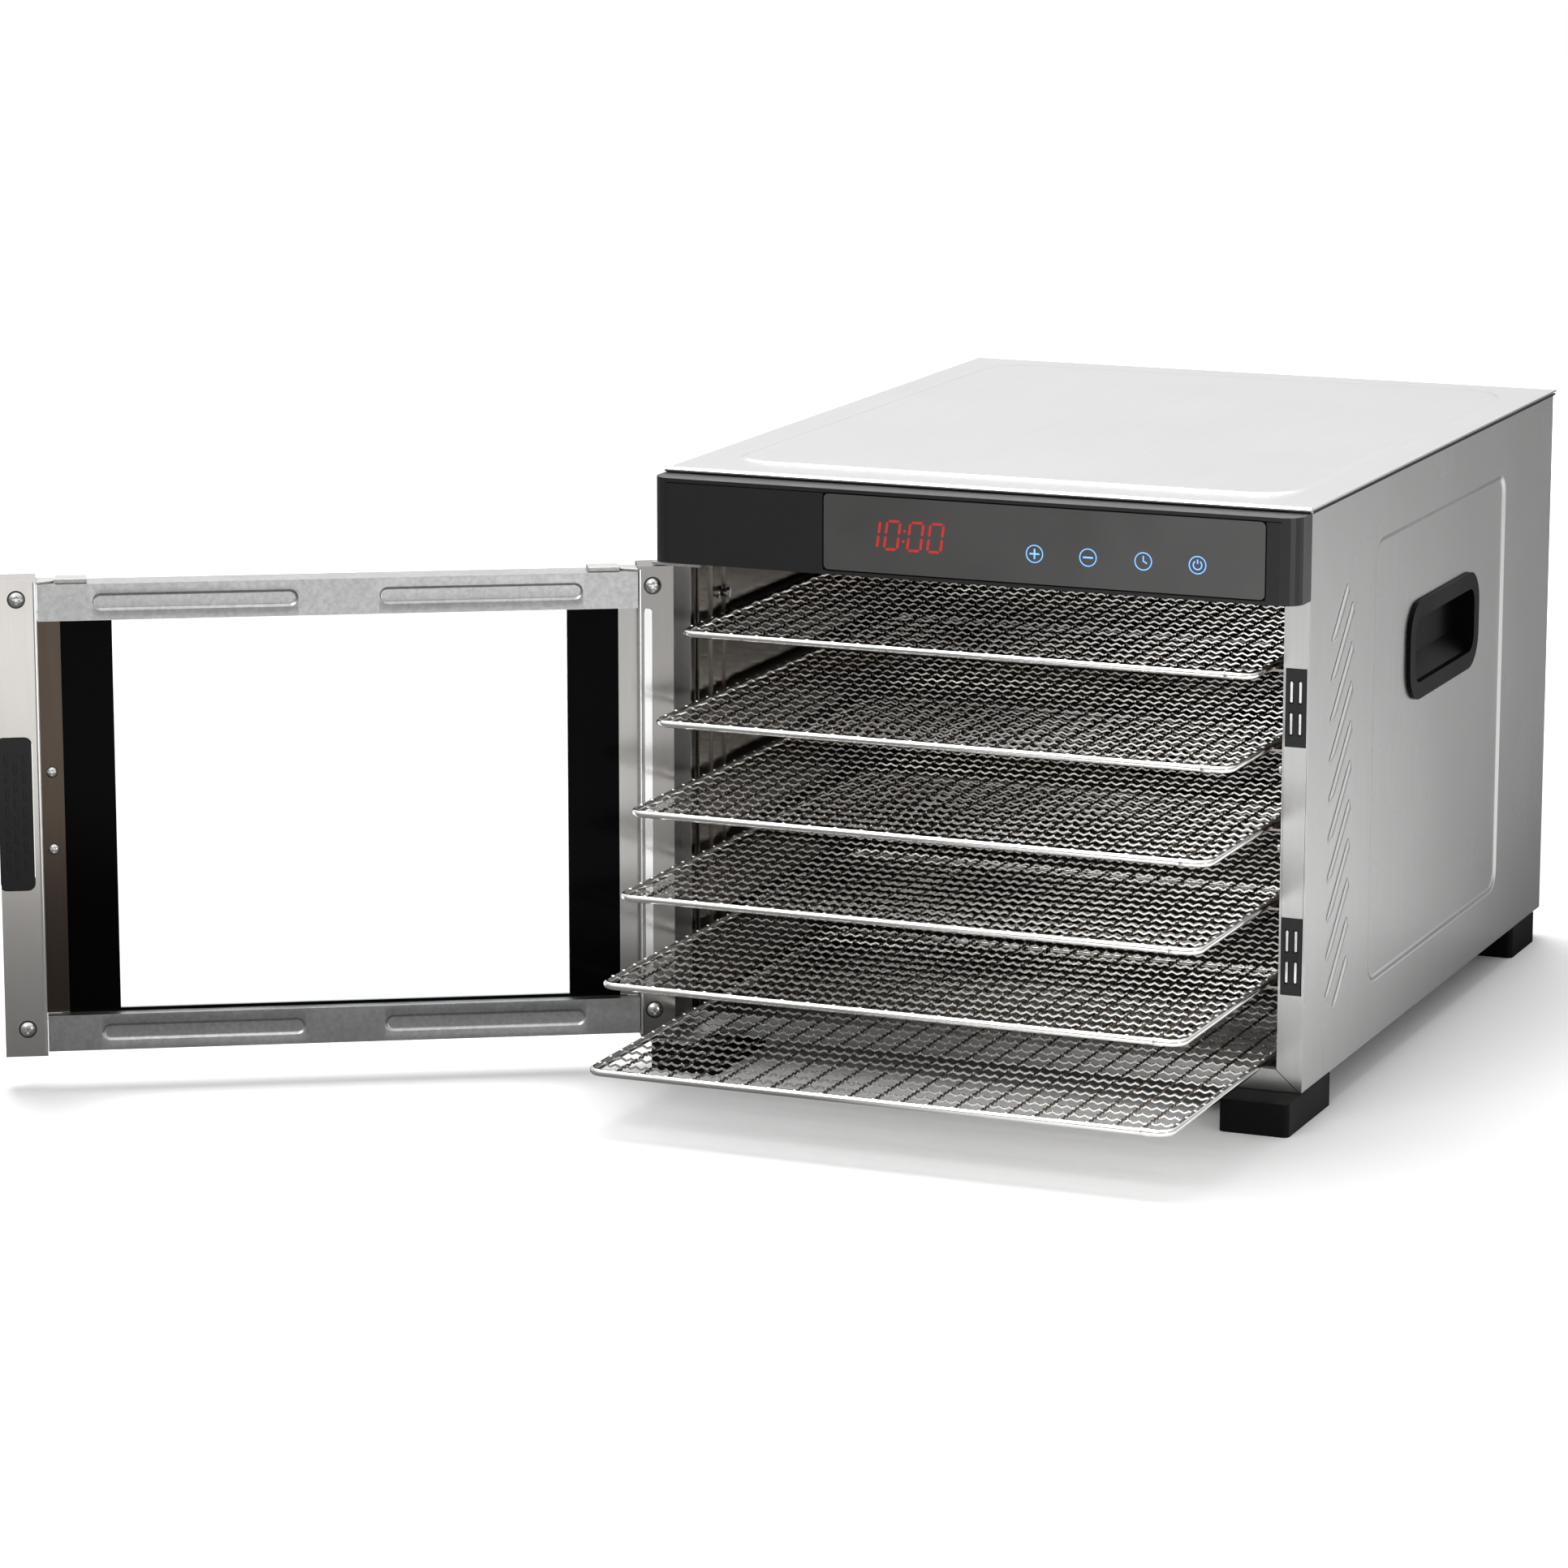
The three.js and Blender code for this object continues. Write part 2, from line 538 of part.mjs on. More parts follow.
function fanBaffle() {
  const half = OPENING - GAP;
  const sheet = box([-half, half], [BAFFLE_Y, BAFFLE_Y + SHEET], [SHEET + GAP, CHAMBER_TOP]);
  const sensorZ = CHAMBER_TOP - SENSOR.drop;
  const sensorHole = at(rod("y", SENSOR.radius + GAP, [-1, 2]), SENSOR.x, BAFFLE_Y, sensorZ);
  const sideVents = [-1, 1].flatMap((side) =>
    [-2, -1, 0, 1, 2].map((step) => {
      const x = side * (half - SIDE_VENTS.margin);
      const z = FAN_Z + step * SIDE_VENTS.pitch;
      const shape = slot([x, z - SIDE_VENTS.length / 2], [x, z + SIDE_VENTS.length / 2], GRILLE.slot);
      return extrude("y", shape, BAFFLE_Y - 1, BAFFLE_Y + SHEET + 1);
    }),
  );
  return cut(sheet, sensorHole, ...sideVents, ...roundGrille(BAFFLE_Y));
}

function motorPlate() {
  const half = OPENING - GAP;
  const sheet = box([-half, half], [MOTOR_PLATE_Y, MOTOR_PLATE_Y + SHEET], [SHEET + GAP, CHAMBER_TOP]);
  const shaftHole = at(rod("y", SHAFT_RADIUS + 2 * RUNNING_GAP, [-1, 2]), 0, MOTOR_PLATE_Y, FAN_Z);
  const legHoles = [-1, 1].map((side) =>
    at(rod("y", HEATER.tube + GAP, [-1, 2]), side * HEATER.legSpread, MOTOR_PLATE_Y, FAN_Z - HEATER.radius),
  );
  return cut(sheet, shaftHole, ...legHoles);
}

function temperatureSensor() {
  const front = BAFFLE_Y - SENSOR.length / 2;
  const collar = BAFFLE_Y + SHEET + GAP;
  const profile = [
    [0, front],
    [SENSOR.radius, front],
    [SENSOR.radius, collar],
    [SENSOR.collar, collar],
    [SENSOR.collar, collar + 2],
    [SENSOR.radius, collar + 2],
    [SENSOR.radius, front + SENSOR.length],
    [0, front + SENSOR.length],
  ];
  return at(turned("y", profile), SENSOR.x, 0, CHAMBER_TOP - SENSOR.drop);
}

function heaterElement() {
  const y = MOTOR_PLATE_Y - HEATER.standoff;
  const ring = new THREE.TorusGeometry(HEATER.radius, HEATER.tube, 8, 28);
  ring.rotateX(Math.PI / 2);
  const legs = [-1, 1].map((side) =>
    at(
      rod("y", HEATER.tube - GAP, [y, MOTOR_PLATE_Y + HEATER.legReach], 10),
      side * HEATER.legSpread,
      0,
      FAN_Z - HEATER.radius,
    ),
  );
  return join(at(solidFrom(ring), 0, y, FAN_Z), ...legs);
}

// An L-shaped clip on the motor plate that reaches over the top of the heater ring.
function heaterBracket() {
  const across = [-HEATER_CLIP.width / 2, HEATER_CLIP.width / 2];
  const under = FAN_Z + HEATER.radius + HEATER.tube + GAP;
  const rear = MOTOR_PLATE_Y - GAP;
  const front = MOTOR_PLATE_Y - HEATER.standoff - HEATER.tube - GAP - HEATER_CLIP.thickness;
  const arm = box(across, [front, rear], [under, under + HEATER_CLIP.thickness]);
  const footUp = box(across, [rear - HEATER_CLIP.thickness, rear], [under, under + HEATER_CLIP.foot]);
  const hook = box(across, [front, front + HEATER_CLIP.thickness], [under - HEATER.tube, under + GAP]);
  return join(arm, footUp, hook);
}

function thermalCutout() {
  const face = MOTOR_PLATE_Y + SHEET + GAP;
  return at(rod("y", CUTOUT.radius, [face, face + CUTOUT.length]), CUTOUT.x, 0, CUTOUT.z);
}

function fanMotor() {
  const face = MOTOR_PLATE_Y + SHEET + GAP;
  const bore = SHAFT_RADIUS + RUNNING_GAP;
  const profile = [
    [0, face + MOTOR.bore],
    [bore, face + MOTOR.bore],
    [bore, face],
    [MOTOR.radius - 3, face],
    [MOTOR.radius, face + 3],
    [MOTOR.radius, face + MOTOR.length - 4],
    [MOTOR.radius - 4, face + MOTOR.length],
    [0, face + MOTOR.length],
  ];
  return at(turned("y", profile, 24), 0, 0, FAN_Z);
}

// A strap across the motor's back, with its feet on the motor plate.
function motorBracket() {
  const face = MOTOR_PLATE_Y + SHEET + GAP;
  const back = face + MOTOR.length + GAP;
  const up = [FAN_Z - MOTOR_STRAP.width / 2, FAN_Z + MOTOR_STRAP.width / 2];
  const { half, thickness } = MOTOR_STRAP;
  const strap = box([-half, half], [back, back + thickness], up);
  const ends = [-1, 1].flatMap((side) => {
    const leg = [side * half, side * (half - thickness)].sort((a, b) => a - b);
    const sole = [side * (half - thickness), side * (half + MOTOR_STRAP.foot)].sort((a, b) => a - b);
    return [box(leg, [face, back + thickness], up), box(sole, [face, face + thickness], up)];
  });
  return join(strap, ...ends);
}

// ---- Fan ----
function fanStart() {
  return BAFFLE_Y + SHEET + FAN_FRONT_CLEARANCE;
}

function fanImpeller() {
  const hub = rod("y", FAN_HUB.radius, [0, FAN_HUB.length], 21);
  const blades = [];
  for (let index = 0; index < FAN_BLADES; index += 1) {
    const inner = FAN_HUB.radius - 2;
    const reach = FAN_RADIUS - inner;
    const blade = new THREE.BoxGeometry(FAN_BLADE.chord, FAN_BLADE.thickness, reach);
    blade.rotateZ(THREE.MathUtils.degToRad(FAN_BLADE.pitchDegrees));
    blade.translate(0, FAN_HUB.length / 2, inner + reach / 2);
    blade.rotateY((index * 2 * Math.PI) / FAN_BLADES);
    blades.push(solidFrom(blade));
  }
  const bore = rod("y", SHAFT_RADIUS + GAP, [-1, FAN_HUB.length + 1]);
  return at(cut(join(hub, ...blades), bore), 0, fanStart(), FAN_Z);
}

function motorShaft() {
  const end = MOTOR_PLATE_Y + SHEET + GAP + SHAFT_INTO_MOTOR;
  return at(rod("y", SHAFT_RADIUS, [fanStart() - 2, end]), 0, 0, FAN_Z);
}

// ---- Controls ----
function controlBezel() {
  const front = -BEZEL_DEPTH;
  const back = -GAP;
  const plan = (inset) => {
    const half = HALF_WIDTH - inset;
    const radius = BEZEL_CORNER - inset;
    const shape = new THREE.Shape();
    shape.absarc(-half + radius, front + inset + radius, radius, Math.PI, 1.5 * Math.PI);
    shape.absarc(half - radius, front + inset + radius, radius, 1.5 * Math.PI, 2 * Math.PI);
    shape.lineTo(half, back + inset);
    shape.lineTo(-half, back + inset);
    return shape;
  };
  const shell = extrude("z", plan(0), BEZEL_BOTTOM, BEZEL_TOP);
  const hollow = extrude("z", plan(BEZEL_WALL), BEZEL_BOTTOM + BEZEL_WALL, BEZEL_TOP - BEZEL_WALL);
  const seat = box(
    [GLASS_WINDOW.left, GLASS_WINDOW.right],
    [front - 1, front + GLASS_WINDOW.depth],
    [BEZEL_BOTTOM + GLASS_WINDOW.margin, BEZEL_TOP - GLASS_WINDOW.margin],
  );
  const { aperture } = DISPLAY;
  const displayHole = box(
    [DISPLAY.left - aperture, DISPLAY.right + aperture],
    [front, front + BEZEL_WALL + 1],
    [BEZEL_BOTTOM + DISPLAY.low - aperture, BEZEL_BOTTOM + DISPLAY.high + aperture],
  );
  const postHeights = [
    BEZEL_BOTTOM + BEZEL_WALL + BOARD.margin + BOARD_POST.inset,
    BEZEL_TOP - BEZEL_WALL - BOARD.margin - BOARD_POST.inset,
  ];
  const postSpan = [front + BEZEL_WALL - GAP, front + BOARD.front - GAP];
  const posts = [BOARD.left + BOARD_POST.inset, BOARD.right - BOARD_POST.inset].flatMap((x) =>
    postHeights.map((z) => at(rod("y", BOARD_POST.radius, postSpan, 10), x, 0, z)),
  );
  return cut(join(cut(shell, hollow), ...posts), seat, displayHole);
}

function controlGlass() {
  const front = -BEZEL_DEPTH;
  return extrude(
    "y",
    roundedRect(
      [GLASS_WINDOW.left + GAP, GLASS_WINDOW.right - GAP],
      [BEZEL_BOTTOM + GLASS_WINDOW.margin + GAP, BEZEL_TOP - GLASS_WINDOW.margin - GAP],
      GLASS_WINDOW.corner,
    ),
    front,
    front + GLASS_WINDOW.depth - GAP,
  );
}

function displayModule() {
  const front = -BEZEL_DEPTH + GLASS_WINDOW.depth + GAP;
  return box(
    [DISPLAY.left, DISPLAY.right],
    [front, -BEZEL_DEPTH + BOARD.front - GAP],
    [BEZEL_BOTTOM + DISPLAY.low, BEZEL_BOTTOM + DISPLAY.high],
  );
}

function controlBoard() {
  const front = -BEZEL_DEPTH + BOARD.front;
  const up = [BEZEL_BOTTOM + BEZEL_WALL + BOARD.margin, BEZEL_TOP - BEZEL_WALL - BOARD.margin];
  return box([BOARD.left, BOARD.right], [front, front + BOARD.thickness], up);
}

// ---- Trays ----
// The rim has an eight-sided section. The straight bars stand for the woven mesh.
function tray() {
  const half = TRAY_HALF_WIDTH;
  const rear = TRAY_FRONT_INSET + TRAY_DEPTH;
  const edge = TRAY_RIM * TRAY_RIM_BEVEL;
  const ring = roundedRect([-half, half], [TRAY_FRONT_INSET, rear], TRAY_CORNER);
  const insideX = [-half + TRAY_RIM, half - TRAY_RIM];
  const insideY = [TRAY_FRONT_INSET + TRAY_RIM, rear - TRAY_RIM];
  ring.holes.push(roundedRect(insideX, insideY, TRAY_CORNER - TRAY_RIM));
  const geometry = new THREE.ExtrudeGeometry(ring, {
    depth: TRAY_RIM - 2 * edge,
    bevelThickness: edge,
    bevelSize: edge,
    bevelOffset: -edge,
    bevelSegments: 1,
    curveSegments: 2,
  });
  geometry.translate(0, 0, edge - TRAY_RIM / 2);
  const bars = [];
  const reach = half - TRAY_RIM / 2;
  const wire = TRAY_WIRE / 2;
  for (let index = 1; index <= TRAY_WIRES_ALONG; index += 1) {
    const x = -half + (index * 2 * half) / (TRAY_WIRES_ALONG + 1);
    const along = [TRAY_FRONT_INSET + TRAY_RIM / 2, rear - TRAY_RIM / 2];
    bars.push(box([x - wire, x + wire], along, [-GAP, TRAY_WIRE - GAP]));
  }
  for (let index = 1; index <= TRAY_WIRES_ACROSS; index += 1) {
    const y = TRAY_FRONT_INSET + (index * TRAY_DEPTH) / (TRAY_WIRES_ACROSS + 1);
    bars.push(box([-reach, reach], [y - wire, y + wire], [GAP - TRAY_WIRE, GAP]));
  }
  return join(solidFrom(geometry), ...bars);
}

// ---- Door ----
// Door pieces are drawn with the hinge axis at x = 0 and the door's mid plane at y = 0. +Y is towards the
// inner face and +X towards the free edge. Heights are the cabinet's own.
function glassSlot(grow) {
  const low = RAIL_BOTTOM + RAIL_HEIGHT - PANE.overlap - grow;
  const high = RAIL_TOP - RAIL_HEIGHT + PANE.overlap + grow;
  const across = [HINGE_POST_END - PANE.overlap - grow, HANDLE_POST_START + PANE.overlap + grow];
  return box(across, [PANE.back - PANE.thickness - grow, PANE.back + grow], [low, high]);
}

// A folded post: a hollow section with a lip that covers the pane's edge.
function post(across, lipAcross) {
  const up = [DOOR_BOTTOM, DOOR_TOP];
  const shell = box(across, [-HALF_DOOR, HALF_DOOR], up);
  const hollow = box(
    [across[0] + DOOR_SHEET, across[1] - DOOR_SHEET],
    [-HALF_DOOR + DOOR_SHEET, HALF_DOOR - DOOR_SHEET],
    [up[0] + DOOR_SHEET, up[1] - DOOR_SHEET],
  );
  const lipBack = PANE.back + GAP;
  const lip = box(
    lipAcross,
    [lipBack, lipBack + DOOR_SHEET],
    [RAIL_BOTTOM + RAIL_HEIGHT + GAP, RAIL_TOP - RAIL_HEIGHT - GAP],
  );
  return cut(join(shell, lip), hollow, glassSlot(GAP));
}

function cornerScrewPlaces() {
  const heights = { bottom: CORNER_SCREW.bottom, top: DOOR_TOP - CORNER_SCREW.fromEnd };
  const across = { hinge: CORNER_SCREW.fromEdge - HINGE_TO_EDGE, handle: DOOR_END - CORNER_SCREW.fromEdge };
  const places = [];
  for (const [level, z] of Object.entries(heights)) {
    for (const [side, x] of Object.entries(across)) {
      places.push({ name: `door_screw_${side}_${level}`, side, x, z });
    }
  }
  return places;
}

function screwHoles(side) {
  return cornerScrewPlaces()
    .filter((place) => place.side === side)
    .map(({ x, z }) => at(rod("y", CORNER_SCREW.shank + GAP, [0, HALF_DOOR + 1], 12), x, 0, z));
}

function hingePost() {
  const pinHole = rod("z", PIN_RADIUS + GAP, [DOOR_BOTTOM - 1, DOOR_TOP + 1], 16);
  const across = [-HINGE_TO_EDGE, HINGE_POST_END];
  const body = post(across, [HINGE_POST_END - DOOR_SHEET, HINGE_POST_END + HINGE_LIP]);
  const lower = pinHole.intersect(box([-5, 5], [-5, 5], [DOOR_BOTTOM - 1, DOOR_BOTTOM + DOOR_SHEET + 1]));
  const upper = pinHole.intersect(box([-5, 5], [-5, 5], [DOOR_TOP - DOOR_SHEET - 1, DOOR_TOP + 1]));
  return cut(body, lower, upper, ...screwHoles("hinge"));
}

function gripHeights(grow) {
  return [GRIP.bottom - grow, GRIP.bottom + GRIP.height + grow];
}

function gripScrewPlaces() {
  const middle = GRIP.bottom + GRIP.height / 2;
  const x = HANDLE_POST_START - GRIP_SCREW.fromPost;
  return [-0.5, 0.5].map((step) => ({ x, z: middle + step * GRIP_SCREW.spacing }));
}

function handlePost() {
  const across = [HANDLE_POST_START, DOOR_END];
  const body = post(across, [HANDLE_POST_START - HANDLE_LIP, HANDLE_POST_START + DOOR_SHEET]);
  const notchAcross = [DOOR_END - GRIP.width - GAP, DOOR_END + 1];
  const notchShape = roundedRect(notchAcross, gripHeights(GAP), GRIP.corner);
  const notch = extrude("y", notchShape, -HALF_DOOR - 1, HALF_DOOR + 1);
  const screwBore = GRIP_SCREW.shank + GAP;
  const holes = gripScrewPlaces().map(({ x, z }) => at(rod("y", screwBore, [0, 5], 12), x, 0, z));
  return cut(body, notch, ...screwHoles("handle"), ...holes);
}

function doorGrip() {
  const shape = roundedRect([DOOR_END - GRIP.width, DOOR_END + GAP], gripHeights(0), GRIP.corner);
  return extrude("y", shape, -HALF_DOOR - GRIP.proud, HALF_DOOR);
}

function rail(bottom, glassSide) {
  const across = [HINGE_POST_END + GAP, HANDLE_POST_START - GAP];
  const face = HALF_DOOR - RAIL_INSET;
  const up = [bottom, bottom + RAIL_HEIGHT];
  const shell = box(across, [-face, face], up);
  const open = glassSide > 0 ? [DOOR_SHEET, RAIL_HEIGHT + 1] : [-1, RAIL_HEIGHT - DOOR_SHEET];
  const hollow = box(
    [across[0] - 1, across[1] + 1],
    [PANE.back + 2 * GAP, face - DOOR_SHEET],
    [bottom + DOOR_SHEET, bottom + RAIL_HEIGHT - DOOR_SHEET],
  );
  const paneSlot = box(
    [across[0] - 1, across[1] + 1],
    [PANE.back - PANE.thickness - GAP, PANE.back + GAP],
    [bottom + open[0], bottom + open[1]],
  );
  const ribs = [0, 1].map((index) => {
    const start = across[0] + RAIL_RIB.start + index * (RAIL_RIB.length + RAIL_RIB.gap);
    const end = start + RAIL_RIB.length;
    const z = bottom + RAIL_HEIGHT / 2;
    const inset = RAIL_RIB.height / 2;
    const shape = slot([start + inset, z], [end - inset, z], RAIL_RIB.height);
    return extrude("y", shape, face - GAP, face + RAIL_RIB.proud);
  });
  return join(cut(shell, hollow, paneSlot), ...ribs);
}

function screw({ head, dome, shank, length }) {
  const profile = [
    [0, -length],
    [shank, -length],
    [shank, 0],
    [head, 0],
    [head * 0.96, dome * 0.4],
    [head * 0.7, dome * 0.85],
    [0, dome],
  ];
  return turned("y", profile, 10);
}

// Each plate is fixed to the cabinet, one under the bezel and one on the front foot, and a pin turns in it.
function hingePlate(bottom, [front, rear]) {
  const across = [PIVOT_X - HINGE_TO_EDGE + GAP, PIVOT_X - HINGE_TO_EDGE + HINGE_PLATE.width];
  const plate = box(across, [front, rear], [bottom, bottom + HINGE_PLATE.thickness]);
  return cut(plate, at(rod("z", PIN_RADIUS + GAP, [bottom - 1, bottom + 3], 16), PIVOT_X, PIVOT_Y, 0));
}

// The hinge-side foot is let down to take the lower plate.
function hingeFoot() {
  const pocketDepth = HINGE_PLATE.thickness + 2 * GAP;
  const across = [-HALF_WIDTH - FOOT_WIDTH, PIVOT_X + HINGE_PLATE.width];
  const along = [-FRONT_FOOT_LENGTH, HINGE_PLATE.underCabinet + GAP];
  const pocket = box(across, along, [-pocketDepth, 0]);
  return cut(foot(-FRONT_FOOT_NOSE, FRONT_FOOT_LENGTH).scale([-1, 1, 1]), pocket);
}

function hingePin(low, high) {
  return rod("z", PIN_RADIUS, [low, high], 16);
}

// ---- Assembly ----
function cabinet() {
  const rearFootFront = CABINET_DEPTH - REAR_FOOT_INSET - REAR_FOOT_LENGTH;
  const upperPlateAlong = [HINGE_PLATE.inset - BEZEL_DEPTH, -HINGE_PLATE.inset];
  const lowerPlateAlong = [HINGE_PLATE.inset - FRONT_FOOT_NOSE, HINGE_PLATE.underCabinet];
  const group = new THREE.Group();
  group.add(
    piece("top_cover", topCover(), BRUSHED_STEEL),
    piece("side_panel_right", cut(sidePanel(), ...catchHoles()), BRUSHED_STEEL),
    mirrored(piece("side_panel_left", sidePanel(), BRUSHED_STEEL)),
    piece("base_pan", basePan(), BRUSHED_STEEL),
    piece("rear_panel", rearPanel(), BRUSHED_STEEL),
    piece("handle_cup_right", handleCup(), BLACK_PLASTIC),
    mirrored(piece("handle_cup_left", handleCup(), BLACK_PLASTIC)),
    piece("foot_front_right", foot(-FRONT_FOOT_NOSE, FRONT_FOOT_LENGTH), BLACK_PLASTIC),
    piece("foot_front_left", hingeFoot(), BLACK_PLASTIC),
    piece("foot_rear_right", foot(rearFootFront, REAR_FOOT_LENGTH), BLACK_PLASTIC),
    mirrored(piece("foot_rear_left", foot(rearFootFront, REAR_FOOT_LENGTH), BLACK_PLASTIC)),
    piece("magnet_catch_lower", magnetCatch(catchBottoms()[0]), BLACK_PLASTIC),
    piece("magnet_catch_upper", magnetCatch(catchBottoms()[1]), BLACK_PLASTIC),
    piece("hinge_plate_upper", hingePlate(UPPER_PLATE_BOTTOM, upperPlateAlong), DULL_STEEL),
    piece("hinge_plate_lower", hingePlate(LOWER_PLATE_BOTTOM, lowerPlateAlong), DULL_STEEL),
    piece("power_inlet", powerInlet(), BLACK_PLASTIC),
  );
  return group;
}

function controls() {
  const group = new THREE.Group();
  group.add(
    piece("control_bezel", controlBezel(), BLACK_PLASTIC),
    piece("control_glass", controlGlass(), BLACK_GLASS),
    piece("display_module", displayModule(), BLACK_PLASTIC),
    piece("control_board", controlBoard(), CIRCUIT),
  );
  return group;
}

function chamber() {
  const group = new THREE.Group();
  group.add(
    piece("liner_right", liner(), CHAMBER_STEEL),
    mirrored(piece("liner_left", liner(), CHAMBER_STEEL)),
    piece("liner_top", linerTop(), CHAMBER_STEEL),
    piece("tray_rack_right", trayRack(), CHAMBER_STEEL),
    mirrored(piece("tray_rack_left", trayRack(), CHAMBER_STEEL)),
    piece("fan_baffle", fanBaffle(), CHAMBER_STEEL),
    piece("motor_plate", motorPlate(), DULL_STEEL),
    piece("temperature_sensor", temperatureSensor(), DULL_STEEL),
    piece("heater_element", heaterElement(), DULL_STEEL),
    piece("heater_bracket", heaterBracket(), DULL_STEEL),
    piece("thermal_cutout", thermalCutout(), DULL_STEEL),
    piece("fan_motor", fanMotor(), DULL_STEEL),
    piece("motor_bracket", motorBracket(), DULL_STEEL),
    piece("fan_impeller", fanImpeller(), DULL_STEEL),
    piece("motor_shaft", motorShaft(), DULL_STEEL),
  );
  return group;
}

function trays() {
  const group = new THREE.Group();
  for (let index = 0; index < TRAY_COUNT; index += 1) {
    const mesh = piece(`tray_${index + 1}`, tray(), TRAY_STEEL);
    mesh.position.set(0, -TRAYS_DRAWN_OUT[index], trayHeight(index));
    group.add(mesh);
  }
  return group;
}

function door() {
  const group = new THREE.Group();
  const pinBottom = LOWER_PLATE_BOTTOM + GAP / 2;
  group.add(
    piece("door_post_hinge", hingePost(), BRUSHED_STEEL),
    piece("door_post_handle", handlePost(), BRUSHED_STEEL),
    piece("door_rail_top", rail(RAIL_TOP - RAIL_HEIGHT, -1), DULL_STEEL),
    piece("door_rail_bottom", rail(RAIL_BOTTOM, 1), DULL_STEEL),
    piece("door_glass", glassSlot(0), CLEAR_GLASS),
    piece("door_grip", doorGrip(), BLACK_PLASTIC),
    piece("hinge_pin_lower", hingePin(pinBottom, DOOR_BOTTOM + PIN_REACH), DULL_STEEL),
    piece("hinge_pin_upper", hingePin(DOOR_TOP - PIN_REACH, BEZEL_BOTTOM - GAP), DULL_STEEL),
  );
  for (const { name, x, z } of cornerScrewPlaces()) {
    const mesh = piece(name, screw(CORNER_SCREW), DULL_STEEL);
    mesh.position.set(x, HALF_DOOR + GAP, z);
    group.add(mesh);
  }
  gripScrewPlaces().forEach(({ x, z }, index) => {
    const mesh = piece(`grip_screw_${["lower", "upper"][index]}`, screw(GRIP_SCREW), DULL_STEEL);
    mesh.position.set(x, PANE.back + DOOR_SHEET + 2 * GAP, z);
    group.add(mesh);
  });
  group.position.set(PIVOT_X, PIVOT_Y, 0);
  group.rotation.z = -THREE.MathUtils.degToRad(DOOR_OPEN_DEGREES);
  return group;
}

// The part's origin is on the floor, under the middle of its overall box.
function standOnFloor(model) {
  model.updateMatrixWorld(true);
  const bounds = new THREE.Box3().setFromObject(model, true);
  const middle = bounds.getCenter(new THREE.Vector3());
  model.position.set(-middle.x, -middle.y, -bounds.min.z);
  return model;
}

const model = new THREE.Group();
model.add(cabinet(), controls(), chamber(), trays(), door());
const dehydrator = new THREE.Group();
dehydrator.add(standOnFloor(model));

export default dehydrator;
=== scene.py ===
"""Looks of a six-tray food dehydrator: brushed steel cabinet, hinged glass door, woven wire trays and a lit
touch panel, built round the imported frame. Forms are drawn in millimetres and scaled to metres at the end.
"""

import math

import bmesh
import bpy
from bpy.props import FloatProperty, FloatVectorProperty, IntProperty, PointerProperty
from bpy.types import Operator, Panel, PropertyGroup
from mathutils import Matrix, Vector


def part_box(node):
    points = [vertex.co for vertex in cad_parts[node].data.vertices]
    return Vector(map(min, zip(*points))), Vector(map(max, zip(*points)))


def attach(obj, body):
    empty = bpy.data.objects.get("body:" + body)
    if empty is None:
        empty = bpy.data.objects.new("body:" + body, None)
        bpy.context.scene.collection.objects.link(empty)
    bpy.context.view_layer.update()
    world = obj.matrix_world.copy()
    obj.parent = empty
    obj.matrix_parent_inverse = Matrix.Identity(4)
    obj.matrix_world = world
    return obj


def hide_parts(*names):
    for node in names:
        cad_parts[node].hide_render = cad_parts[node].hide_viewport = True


bl_info = {
    "name": "Food dehydrator",
    "version": (1, 0, 0),
    "blender": (4, 5, 0),
    "location": "View3D > Sidebar > Dehydrator",
    "description": "Builds the steel, glass, wire and plastic of a six-tray food dehydrator",
    "category": "Add Mesh",
}

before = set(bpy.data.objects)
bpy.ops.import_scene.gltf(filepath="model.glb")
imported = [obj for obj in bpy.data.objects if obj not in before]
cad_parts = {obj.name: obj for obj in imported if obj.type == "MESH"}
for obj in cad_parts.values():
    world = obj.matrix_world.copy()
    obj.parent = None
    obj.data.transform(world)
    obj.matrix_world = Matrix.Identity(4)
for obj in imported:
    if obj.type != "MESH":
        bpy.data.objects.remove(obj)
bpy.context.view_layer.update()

MM = 0.001
X = Vector((1, 0, 0))
Y = Vector((0, 1, 0))
Z = Vector((0, 0, 1))
TRAYS = [f"tray_{number}" for number in range(1, 7)]
SIDES = {"right": 1, "left": -1}


# ---- Places taken from the frame ----
def span(node):
    """A node's box in millimetres: ((x0, x1), (y0, y1), (z0, z1))."""
    low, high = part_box(node)
    return [(low[i] / MM, high[i] / MM) for i in range(3)]


def cabinet_corner():
    """The middle of the cabinet's front lower edge, in metres."""
    right_low, right_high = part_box("side_panel_right")
    left_low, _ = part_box("side_panel_left")
    return Vector(((right_high.x + left_low.x) / 2, right_low.y, right_low.z))


CABINET = Matrix.Translation(cabinet_corner())
ORIGIN = cabinet_corner() / MM
HALF_WIDTH = span("side_panel_right")[0][1] - ORIGIN.x
DEPTH = span("top_cover")[1][1] - ORIGIN.y

DOOR_OPEN_DEGREES = 150.0  # from shut, as the door stands at rest
DOOR_THICKNESS = 19.0
PANE_FACE = 1.0  # inner face of the pane from the door's middle plane


def heights(node):
    """A node's lowest and highest points over the cabinet's underside."""
    return [value - ORIGIN.z for value in span(node)[2]]


